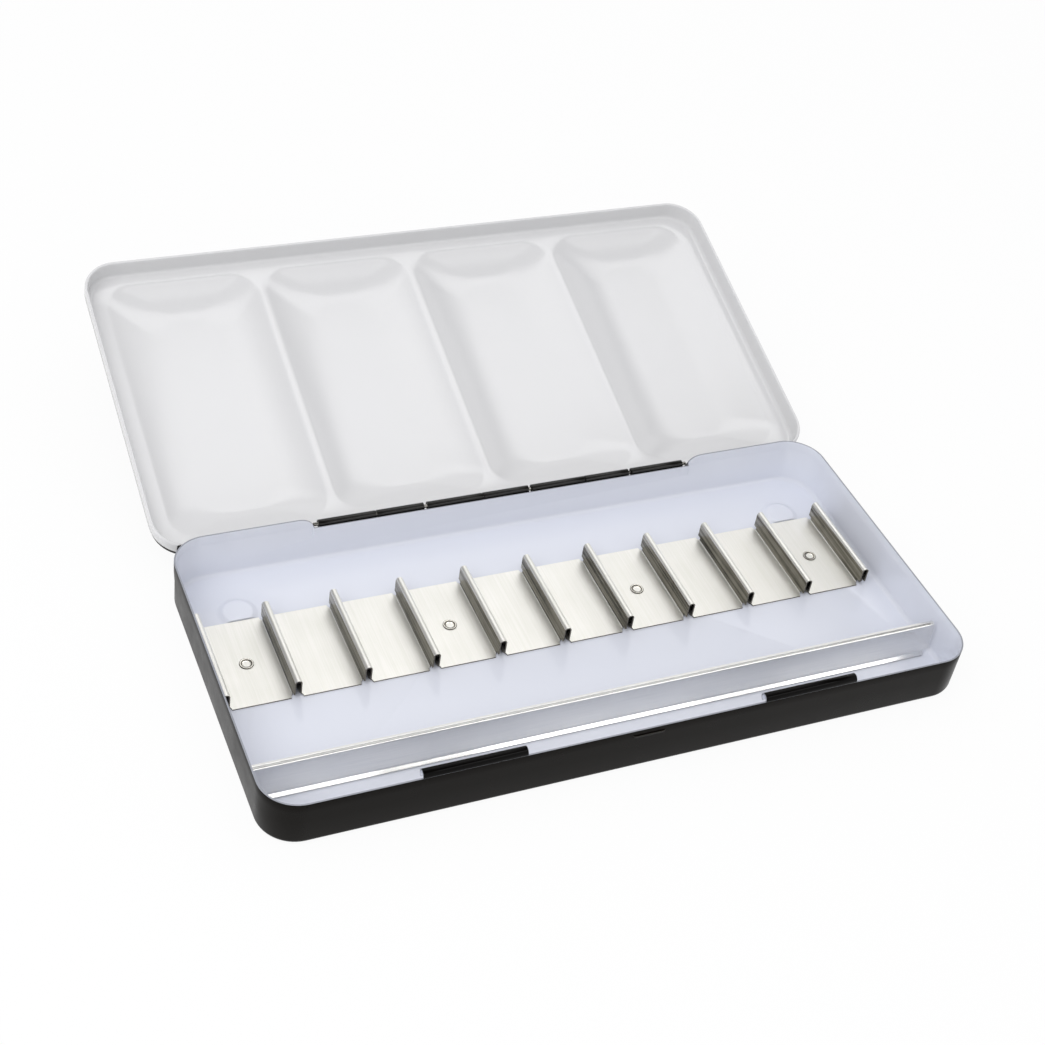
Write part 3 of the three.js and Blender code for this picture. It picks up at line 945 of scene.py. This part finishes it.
        pick(Kind.FACE, lambda middle, _: on_pip(middle) and 0 < middle.z - self.sheet < self.pip_room)
        bpy.ops.mesh.bisect(plane_co=(0, self.pip_front, 0), plane_no=(0, 1, 0), clear_inner=True)
        pick(
            Kind.EDGE,
            lambda a, b: near(a.y, self.pip_front) and near(b.y, self.pip_front) and on_pip(a),
            open_only=True,
        )
        run_out((0, 0, 0))
        bpy.ops.transform.resize(value=(1, 1, 0), center_override=(across, self.pip_front, self.sheet))
        pick(Kind.VERTEX, on_pip)
        bpy.ops.mesh.remove_doubles(threshold=NEAR)


@dataclass
class LatchCurls:
    """Two rolls turned inwards from the front wall's edge, which the lid's hem snaps over."""

    finishes: Finishes
    front: float = -54.65
    rim: float = 16.5
    sheet: float = 0.5
    radius: float = 1.5
    lift: float = 0.4
    length: float = 31.2
    spread: float = 107.0
    start: float = 180.0
    end: float = -70.0
    step: float = 12.5
    rim_edge: float = 0.08

    def build(self) -> None:
        """Models one curl, copies it and sets both down."""
        roll = self.radius - self.sheet / 2
        centre_y = self.front + self.radius
        centre_z = self.rim + self.lift
        left = -self.spread / 2 - self.length / 2
        points = [(left, self.front + self.sheet / 2, self.rim)]
        steps = round((self.start - self.end) / self.step)
        for i in range(steps + 1):
            turn = math.radians(self.start - (self.start - self.end) * i / steps)
            points.append((left, centre_y + roll * math.cos(turn), centre_z + roll * math.sin(turn)))
        with drawing("latch_curl_left") as curl:
            draw_line(points)
            run_out((self.length, 0, 0))
            face_outwards()
        # The curls' outer side takes the deeper black, which is painted shade.
        sides = (self.finishes.curl, self.finishes.tray_bed, self.finishes.cut_edge)
        thicken(curl, sides, self.sheet, offset=0.0, edge=self.rim_edge)
        for piece in (curl, copy_of(curl, "latch_curl_right", self.spread)):
            set_down(piece, Body.BASE)


@dataclass
class FrontCatch:
    """A small louvre lanced out of the front wall, open along its top."""

    finishes: Finishes
    front: float = -54.65
    slit: float = 14.6
    half_length: float = 5.2
    end: float = 1.0
    drop: float = 0.9
    proud: float = 0.5
    sheet: float = 0.2
    steps: int = 48

    def build(self) -> None:
        """Models the louvre from a quarter of a drawn-out ball and sets it down."""
        centre = (0, self.front, self.slit)
        with drawing("front_catch") as louvre:
            bpy.ops.mesh.primitive_uv_sphere_add(
                segments=self.steps, ring_count=self.steps // 2, radius=1, location=centre
            )
            bpy.ops.transform.resize(value=(self.end, self.proud, self.drop), center_override=centre)
            for side in (-1, 1):
                pick(Kind.VERTEX, lambda v: v.x * side > NEAR)
                bpy.ops.transform.translate(value=(side * (self.half_length - self.end), 0, 0))
            for facing in ((0, 0, 1), (0, 1, 0)):
                bpy.ops.mesh.select_all(action="SELECT")
                bpy.ops.mesh.bisect(plane_co=centre, plane_no=facing, clear_outer=True)
            face_outwards()
        # The louvre takes the curls' painted deeper black, and its cut lip is painted grey as a highlight.
        thicken(louvre, (self.finishes.curl, self.finishes.curl, self.finishes.worn_edge), self.sheet)
        set_down(louvre, Body.BASE)


@dataclass
class PanTray:
    """One bright strip folded into ridges, with a bay for a pan between each two."""

    finishes: Finishes
    left: float = -110.55
    front: float = -3.0
    depth: float = 34.5
    floor: float = 0.5
    sheet: float = 0.4
    bays: int = 10
    bay_width: float = 19.2
    ridge_width: float = 2.3
    rise: float = 6.4
    fold: float = 0.6
    fold_steps: int = 6
    top_share: float = 0.95
    top_steps: int = 8
    relief_rise: float = 0.9
    relief: Punch = Punch(radius=1.9, depth=4.0, steps=48)
    steepness: float = 0.9

    def build(self) -> None:
        """Folds the strip, punches a relief at both ends of every fold and sets it down."""
        low = self.floor + self.sheet / 2
        high = low + self.rise
        half = (self.ridge_width - self.sheet) / 2
        pitch = self.bay_width + self.ridge_width
        ridges = [self.left + self.ridge_width / 2 + i * pitch for i in range(self.bays + 1)]
        line = []
        for x in ridges:
            line += [(x - half, low), (x - half, high), (x + half, high), (x + half, low)]
        line[0] = (line[0][0], self.floor)
        line[-1] = (line[-1][0], self.floor)
        with drawing("clip_tray") as tray:
            draw_line([(x, self.front, z) for x, z in line])
            run_out((0, self.depth, 0))
            round_edges(
                lambda a, b: near(a.z, high) and near(a.x, b.x), half * self.top_share, self.top_steps
            )
            round_edges(
                lambda a, b: near(a.z, low) and near(b.z, low) and near(a.x, b.x) and not near(a.y, b.y),
                self.fold, self.fold_steps,
            )
            face_outwards()
        # The underside and the insides of the folds are painted dark, as painted shade.
        sides = (self.finishes.tin_tray, self.finishes.tin_inside, self.finishes.tin_cut)
        thicken(tray, sides, self.sheet, offset=0.0)
        # The steep flanks take the darker tinplate: painted shade, with real streaks along the ridges.
        paint_faces(tray, self.finishes.tin_flank, lambda _, normal: abs(normal.x) > self.steepness)
        height = self.floor + self.sheet + self.relief_rise - self.relief.depth / 2
        ends = (self.front, self.front + self.depth)
        self.relief.drive(tray, [(x, y, height) for x in ridges for y in ends], self.finishes.tin_cut)
        set_down(tray, Body.BASE, ["pan_tray"])


@dataclass
class TrayRivets:
    """Rivets that hold the tray to the floor, with a shallow dish in each head."""

    finishes: Finishes
    row: RivetRow = RivetRow()
    profile: tuple[Flat, ...] = (
        (0.0, 0.05), (1.7, 0.05), (1.78, 0.1), (1.3, 0.5), (1.3, 0.9), (2.1, 0.9), (2.2, 0.96), (2.2, 1.05),
        (2.13, 1.12), (2.02, 1.15), (1.75, 1.13), (1.6, 1.06), (1.35, 0.95), (0.9, 0.87), (0.0, 0.85),
    )
    steps: int = 48
    # The head is painted dark as shade between the crease radii and beyond the rim radius.
    crease: Flat = (1.4, 1.75)
    rim: float = 2.06

    def build(self) -> None:
        """Spins one rivet, paints shade into its crease and round its rim, copies it and sets all down."""
        with drawing("rivet_head_1") as first:
            draw_line([(radius, 0, height) for radius, height in self.profile])
            spin_round((0, 0, 1), self.steps)
        first.data.materials.append(self.finishes.rivet)
        paint_faces(first, self.finishes.tarnish, lambda middle, _: self.is_dull(middle.xy.length))
        rivets = [first] + [copy_of(first, f"rivet_head_{i + 1}") for i in range(1, len(self.row.across))]
        for i, (piece, across) in enumerate(zip(rivets, self.row.across), start=1):
            spot = Matrix.Translation((across, self.row.along, 0))
            set_down(piece, Body.BASE, [f"tray_rivet_{i}"], spot)

    def is_dull(self, radius: float) -> bool:
        """Whether painted shade lies at a distance from the rivet's middle."""
        return self.crease[0] < radius < self.crease[1] or radius > self.rim


@dataclass
class DividerRail:
    """A loose strip with a sloping foot in front and a hemmed edge folded back along its top."""

    finishes: Finishes
    left: float = -111.55
    right: float = 110.3
    floor: float = 0.5
    sheet: float = 0.5
    web_foot: float = -36.25
    foot: float = 1.2
    foot_rise: float = 0.98
    toe_lift: float = 0.2
    rise: float = 12.0
    lean: float = 3.0
    edge: float = 1.65
    edge_slope: float = 12.0
    bend: float = 0.35
    bend_steps: int = 6
    groove: float = 0.12
    notch: Punch = Punch(radius=2.2, depth=8.0, steps=40, turn=(math.pi / 2, 0.0, 0.0))

    def build(self) -> None:
        """Folds the strip, notches its bottom corners and sets it down."""
        low = self.floor + self.sheet / 2
        high = self.floor + self.rise - self.sheet / 2
        web_top = self.web_foot + (high - low) * math.tan(math.radians(self.lean))
        fall = self.edge / 2 * math.tan(math.radians(self.edge_slope))
        crest = web_top + self.edge / 2
        toe = (self.web_foot - self.foot, self.floor + self.toe_lift)
        bends = [(self.web_foot, toe[1] + self.foot_rise), (web_top, high - fall)]
        hem = [
            (crest - self.groove, high), (crest, high - self.groove), (crest + self.groove, high),
            (web_top + self.edge, high - fall),
        ]
        with drawing("divider_strip") as rail:
            draw_line([(self.left, y, z) for y, z in (toe, *bends, *hem)])
            run_out((self.right - self.left, 0, 0))
            for spot in bends:
                round_edges(
                    lambda *ends: all(near(end.y, spot[0]) and near(end.z, spot[1]) for end in ends),
                    self.bend, self.bend_steps,
                )
            face_outwards()
        sides = (self.finishes.tin_rail, self.finishes.tin_rail, self.finishes.tin_cut)
        thicken(rail, sides, self.sheet, offset=0.0)
        corners = [(x, self.web_foot, self.floor) for x in (self.left, self.right)]
        self.notch.drive(rail, corners, self.finishes.tin_cut)
        set_down(rail, Body.DIVIDER, ["divider_rail"])


@dataclass
class Hinge:
    """Seven rolled knuckles, four on the base and three on the lid, on one steel pin."""

    finishes: Finishes
    line: HingeLine = HingeLine()
    radius: float = 1.35
    sheet: float = 0.45
    leaf_rise: float = 6.5
    leaf_top: float = 2.3
    base_face: float = -1.4
    lid_face: float = -0.7
    base_knuckles: tuple[Flat, ...] = ((-64.25, -45.25), (-27.75, -8.75), (8.75, 27.75), (45.25, 64.25))
    lid_knuckles: tuple[Flat, ...] = ((-44.8, -29.0), (-8.3, 7.5), (28.2, 44.0))
    roll_foot: float = 0.7
    roll_turns: tuple[int, ...] = tuple(range(180, -136, -15))
    rim_edge: float = 0.07
    pin_radius: float = 0.6
    pin_half: float = 65.95
    pin_end: tuple[Flat, ...] = ((0.0, 0.0), (0.0, 0.5), (0.1, 0.8), (0.3, 1.0))
    pin_steps: int = 32

    def build(self) -> None:
        """Models both leaves and the pin and sets them down."""
        base_leaf = self.leaf("base_hinge_roll", self.base_face, self.base_knuckles)
        set_down(base_leaf, Body.BASE, ["base_hinge_leaf"], self.line.on_base)
        lid_leaf = self.leaf("lid_hinge_roll", self.lid_face, self.lid_knuckles)
        set_down(lid_leaf, Body.LID, ["lid_hinge_leaf"], self.line.on_lid)
        set_down(self.pin(), Body.BASE, ["hinge_pin"], self.line.on_base)

    def leaf(self, name: str, face: float, knuckles: Sequence[Flat]) -> Piece:
        """Models a leaf: a plate with its upper edge rolled round the pin at each knuckle.

        Args:
            name: The piece's name.
            face: Middle of the plate's sheet on Y, from the hinge line.
            knuckles: Where each knuckle starts and ends on X.

        Returns:
            The leaf, about the hinge line.
        """
        middle = self.radius - self.sheet / 2
        turns = [math.radians(turn) for turn in self.roll_turns]
        plate = [(face, -self.leaf_rise), (face, -self.leaf_top)]
        roll = [plate[1], (-middle, -self.roll_foot)]
        roll += [(middle * math.cos(turn), middle * math.sin(turn)) for turn in turns]
        strips = [(plate, knuckles[0][0], knuckles[-1][1]), *((roll, *knuckle) for knuckle in knuckles)]
        with drawing(name) as piece:
            for line, start, end in strips:
                draw_line([(start, y, z) for y, z in line])
                run_out((end - start, 0, 0))
            face_outwards()
        thicken(piece, [self.finishes.hinge] * 3, self.sheet, offset=0.0, edge=self.rim_edge)
        return piece

    def pin(self) -> Piece:
        """Spins the pin about X with rounded ends.

        Returns:
            The pin, about the hinge line.
        """
        profile = [(inward - self.pin_half, share * self.pin_radius) for inward, share in self.pin_end]
        line = [*profile, *((-x, y) for x, y in reversed(profile))]
        with drawing("hinge_wire") as piece:
            draw_line([(x, y, 0) for x, y in line])
            spin_round((1, 0, 0), self.pin_steps)
        piece.data.materials.append(self.finishes.pin)
        return piece


@dataclass
class PaletteLid:
    """The lid, whose floor is pressed into four mixing wells. It is drawn about the hinge line."""

    finishes: Finishes
    hinge: HingeLine = HingeLine()
    sides: Sides = Sides(-114.4, 114.4, -0.15, 112.94)
    sheet: float = 0.4
    depth: float = 6.8
    corner: float = 11.0
    bend: float = 1.8
    bend_steps: int = 6
    hem_roll: float = 0.5
    hem_turns: tuple[int, ...] = tuple(range(0, 181, 18))
    hem_height: float = 4.0
    hem_lip: Flat = (0.12, 0.25)
    hem_stop: float = 0.6
    recess_drop: float = 2.2
    hinge_zone: float = 1.0
    wells: int = 4
    well_width: float = 53.0
    well_pitch: float = 54.6
    well_front: float = 6.9
    well_back: float = 108.2
    well_corner: float = 9.0
    well_floor_corner: float = 8.0
    side_slope: float = 17.0
    side_slope_power: float = 2.0
    near_slope: float = 8.5
    near_slope_power: float = 1.25
    far_slope: float = 15.0
    far_slope_power: float = 1.8
    well_depth: float = 3.4
    well_steps: int = 22
    guard: float = 0.3
    rim_edge: float = 0.06

    def build(self) -> None:
        """Models the lid and sets it down open."""
        with drawing("palette_lid") as shell:
            self.raise_walls()
            self.drop_hinge_recess()
        make_active(shell, [self.well(i) for i in range(self.wells)])
        bpy.ops.object.join()
        with editing(shell):
            pick(Kind.EDGE, lambda a, b: near(a.z, -self.depth) and near(b.z, -self.depth), open_only=True)
            bpy.ops.mesh.fill(use_beauty=True)
            face_upwards()
        sides = (self.finishes.palette, self.finishes.outside, self.finishes.palette)
        thicken(shell, sides, self.sheet, edge=self.rim_edge)
        set_down(shell, Body.LID, ["lid_shell"], self.hinge.on_lid)

    def raise_walls(self) -> None:
        """Draws the inside of the lid from a flat band of its floor up and over its rolled hem."""
        inside = self.sides.grown(-self.sheet)
        corner = self.corner - self.sheet
        bend = self.bend - self.sheet
        start = bend + self.guard
        # The bend starts a hair above the floor, which keeps the floor's flat band apart from it.
        rings = [
            Ring(inside.grown(-start), corner - start, -self.depth),
            *bend_rings(inside, corner, bend, 2 * NEAR - self.depth, self.bend_steps),
            Ring(inside, corner, -self.recess_drop),
            *(Ring(inside.grown(out), corner + out, height) for out, height in self.hem_line()),
        ]
        add_rings(rings)
        top = Ring(inside.grown(self.hem_roll), corner + self.hem_roll, 0)
        pick(Kind.FACE, lambda middle, _: middle.z > -self.depth and top.outside(middle) > 0)
        bpy.ops.mesh.bisect(plane_co=(0, self.hem_stop, 0), plane_no=(0, 1, 0), clear_inner=True)

    def hem_line(self) -> list[Flat]:
        """The hem's section, rolled outwards over half a turn and then straight down.

        Returns:
            Distance out from the wall's inner face and height, for each bend.
        """
        roll = self.hem_roll
        turns = [math.radians(turn) for turn in self.hem_turns]
        line = [(roll * (1 - math.cos(turn)), roll * (math.sin(turn) - 1)) for turn in turns]
        tuck, lip = self.hem_lip
        return [*line, (2 * roll, lip - self.hem_height), (2 * roll - tuck, -self.hem_height)]

    def drop_hinge_recess(self) -> None:
        """Takes away the top of the hinge-side wall between the hinge's ends."""
        half = self.hinge.recess_half

        def on_wall(middle: Vector) -> bool:
            """Whether a face's middle is near the top of the hinge-side wall."""
            return middle.y < self.hinge_zone and middle.z > -self.recess_drop

        for across in (-half, half):
            pick(Kind.FACE, lambda middle, _: on_wall(middle))
            bpy.ops.mesh.bisect(plane_co=(across, 0, 0), plane_no=(1, 0, 0))
        pick(Kind.FACE, lambda middle, _: on_wall(middle) and abs(middle.x) < half)
        bpy.ops.mesh.delete(type="FACE")

    def well(self, index: int) -> Piece:
        """Models one mixing well, with a narrow flat band round it.

        Args:
            index: Which well, from the left.

        Returns:
            The well as an object of its own.
        """
        across = (index - (self.wells - 1) / 2) * self.well_pitch
        half = self.well_width / 2
        sides = Sides(across - half, across + half, self.well_front, self.well_back)
        rings = [Ring(sides.grown(self.guard), self.well_corner + self.guard, -self.depth)]
        for step in range(1, self.well_steps + 1):
            left = 1 - step / self.well_steps
            depth = 1 - left**self.side_slope_power
            inward = self.side_slope * (1 - left)
            near_end = self.near_slope * (1 - left ** (self.side_slope_power / self.near_slope_power))
            far_end = self.far_slope * (1 - left ** (self.side_slope_power / self.far_slope_power))
            spot = Sides(
                sides.left + inward, sides.right - inward, sides.front + near_end, sides.back - far_end
            )
            corner = self.well_corner - depth * (self.well_corner - self.well_floor_corner)
            rings.append(Ring(spot, corner, -self.depth - depth * self.well_depth))
        with drawing(f"well_{index + 1}") as well:
            add_rings(rings)
            pick(Kind.EDGE, lambda a, b: rings[-1].holds(a) and rings[-1].holds(b), open_only=True)
            bpy.ops.mesh.edge_face_add()
        return well


# Studio


def seen_directly(tree: Tree) -> Socket:
    """Makes a value that is 1 for camera, glossy and transmission rays and 0 for others.

    Args:
        tree: The node tree.

    Returns:
        The value's socket.
    """
    path = add_node(tree, "ShaderNodeLightPath")
    level = path.outputs["Is Camera Ray"]
    for ray in ("Is Glossy Ray", "Is Transmission Ray"):
        either = add_node(tree, "ShaderNodeMath", {0: level, 1: path.outputs[ray]}, operation="MAXIMUM")
        level = either.outputs["Value"]
    return level


def facing(place: Point, target: Point, front: str) -> dict[str, object]:
    """Works out where a lamp or a card stands, so that it faces a point.

    Args:
        place: Its middle, in millimetres.
        target: The point that it faces, in millimetres.
        front: Its own axis that faces the point.

    Returns:
        The object's settings by name.
    """
    way = Vector(target) - Vector(place)
    return {
        "location": Vector(place) * MM, "rotation_mode": "QUATERNION",
        "rotation_quaternion": way.to_track_quat(front, "Y"),
    }


@dataclass(frozen=True)
class Card:
    """A bright or dark studio card for bare metal and gloss to mirror, unseen otherwise.

    Attributes:
        name: The card's name.
        place: Its middle, in millimetres.
        target: The point that it faces, in millimetres.
        size: Its width and height, in millimetres.
        strength: How bright its middle is, where 1 is white.
        fade: Share of its width and of its height over which each edge darkens.
    """

    name: str
    place: Point
    target: Point
    size: Flat
    strength: float
    fade: Flat = (0.01, 0.01)

    def stand(self) -> None:
        """Stands the card in the scene."""
        bpy.ops.object.select_all(action="DESELECT")
        bpy.ops.mesh.primitive_plane_add(size=1)
        card = bpy.context.active_object
        card.name = self.name
        card.scale = (self.size[0] * MM, self.size[1] * MM, 1)
        for key, value in facing(self.place, self.target, "Z").items():
            setattr(card, key, value)
        card.visible_camera = card.visible_diffuse = card.visible_shadow = card.visible_transmission = False
        material = bpy.data.materials.new(self.name)
        tree = empty_tree(material)
        places = add_node(tree, "ShaderNodeTexCoord").outputs["Object"]
        split = add_node(tree, "ShaderNodeSeparateXYZ", {"Vector": places})
        level = self.strength
        # The plane is 1 wide, so its edges lie 0.5 from its middle.
        for axis, share in zip("XY", self.fade):
            out = add_node(tree, "ShaderNodeMath", {0: split.outputs[axis]}, operation="ABSOLUTE")
            edge = add_node(
                tree, "ShaderNodeMapRange",
                {
                    "Value": out.outputs["Value"], "From Min": 0.5 - share, "From Max": 0.5,
                    "To Min": 1.0, "To Max": 0.0,
                },
                interpolation_type="SMOOTHSTEP",
            )
            product = add_node(
                tree, "ShaderNodeMath", {0: edge.outputs["Result"], 1: level}, operation="MULTIPLY"
            )
            level = product.outputs["Value"]
        glow = add_node(tree, "ShaderNodeEmission", {"Color": linear("ffffff"), "Strength": level})
        add_node(tree, "ShaderNodeOutputMaterial", {"Surface": glow.outputs["Emission"]})
        card.data.materials.append(material)


@dataclass
class Studio:
    """A pale floor, a soft light from the left, cards for metal to mirror, and the photograph's camera."""

    place: Point = (-213.573, -348.533, 395.079)
    right: Point = (0.91781, -0.375073, 0.130176)
    down: Point = (-0.158373, -0.646544, -0.746257)
    ahead: Point = (0.364065, 0.664305, -0.652806)
    focal_pixels: float = 1824.134
    frame_pixels: float = 1045.0
    sensor: float = 36.0
    nearest: float = 0.01
    floor_size: float = 8.0
    floor_glow: float = 0.93
    lamp_place: Point = (-500, -280, 800)
    lamp_target: Point = (0, 30, 0)
    lamp_size: float = 900.0
    lamp_watts: float = 4.1
    cards: tuple[Card, ...] = (
        Card("dark_ceiling", (0, -200, 1000), (0, -200, 0), (2400, 1700), 0.08),
        Card("dim_back_left", (-620, 640, 520), (0, 15, 0), (800, 700), 0.3),
        Card("card_back", (230, 790, 800), (0, 15, 0), (1250, 620), 1.18, (0.27, 0.1)),
        Card("card_overhead", (225, 378, 845), (225, 378, 0), (1150, 235), 3.1, (0.3, 0.1)),
        Card("card_above", (280, -25, 860), (280, -25, 0), (900, 180), 1.6, (0.2, 0.1)),
        Card("card_front", (330, -640, 670), (0, -30, 10), (1000, 330), 3.0, (0.1, 0.2)),
    )

    def build(self) -> None:
        """Adds the camera, the floor, the lamp, the cards and the world."""
        self.add_camera()
        self.add_floor()
        self.add_softbox()
        for card in self.cards:
            card.stand()
        self.add_world()
        bpy.context.scene.view_settings.view_transform = "Standard"

    def add_camera(self) -> None:
        """Sets the camera at the photograph's place, turn and angle."""
        camera = bpy.data.objects.new("photo_camera", bpy.data.cameras.new("photo_camera"))
        bpy.context.scene.collection.objects.link(camera)
        camera.data.sensor_width = self.sensor
        camera.data.lens = self.focal_pixels / self.frame_pixels * self.sensor
        camera.data.clip_start = self.nearest
        columns = (Vector(self.right), -Vector(self.down), -Vector(self.ahead))
        turn = Matrix(columns).transposed().to_4x4()
        camera.matrix_world = Matrix.Translation(Vector(self.place) * MM) @ turn
        bpy.context.scene.camera = camera

    def add_floor(self) -> None:
        """Lays a wide pale floor that shows near white and keeps a soft shadow."""
        bpy.ops.object.select_all(action="DESELECT")
        bpy.ops.mesh.primitive_plane_add(size=self.floor_size)
        floor = bpy.context.active_object
        floor.name = "studio_floor"
        material = bpy.data.materials.new("studio_floor")
        tree = empty_tree(material)
        paper = add_node(tree, "ShaderNodeBsdfDiffuse", {"Color": linear("fafafa")})
        glow = add_node(tree, "ShaderNodeEmission", {"Color": linear("ffffff"), "Strength": 1.0})
        part = add_node(
            tree, "ShaderNodeMath", {0: seen_directly(tree), 1: self.floor_glow}, operation="MULTIPLY"
        )
        mixed = add_node(
            tree, "ShaderNodeMixShader",
            {"Fac": part.outputs["Value"], 1: paper.outputs["BSDF"], 2: glow.outputs["Emission"]},
        )
        add_node(tree, "ShaderNodeOutputMaterial", {"Surface": mixed.outputs["Shader"]})
        floor.data.materials.append(material)

    def add_softbox(self) -> None:
        """Adds a square softbox at the left that leaves no mirror image."""
        lamp = bpy.data.objects.new("left_softbox", bpy.data.lights.new("left_softbox", "AREA"))
        bpy.context.scene.collection.objects.link(lamp)
        lamp.data.shape = "SQUARE"
        lamp.data.size = self.lamp_size * MM
        lamp.data.energy = self.lamp_watts
        lamp.visible_glossy = False
        for key, value in facing(self.lamp_place, self.lamp_target, "-Z").items():
            setattr(lamp, key, value)

    def add_world(self) -> None:
        """Surrounds the scene with an even pale light, white where it is seen."""
        world = bpy.data.worlds.new("studio_world")
        bpy.context.scene.world = world
        tree = empty_tree(world)
        tone = add_node(
            tree, "ShaderNodeMix",
            {"Factor": seen_directly(tree), "A": linear("dbdbdd"), "B": linear("ffffff")},
            data_type="RGBA",
        )
        sky = add_node(tree, "ShaderNodeBackground", {"Color": tone.outputs["Result"], "Strength": 1.0})
        add_node(tree, "ShaderNodeOutputWorld", {"Surface": sky.outputs["Background"]})


def main() -> None:
    """Builds the studio and the box in it."""
    logging.basicConfig(level=logging.INFO, format="%(name)s: %(message)s")
    finishes = Finishes.mixed()
    Studio().build()
    for part in (BaseTin, LatchCurls, FrontCatch, PanTray, TrayRivets, DividerRail, Hinge, PaletteLid):
        part(finishes).build()


if __name__ == "__main__":
    main()
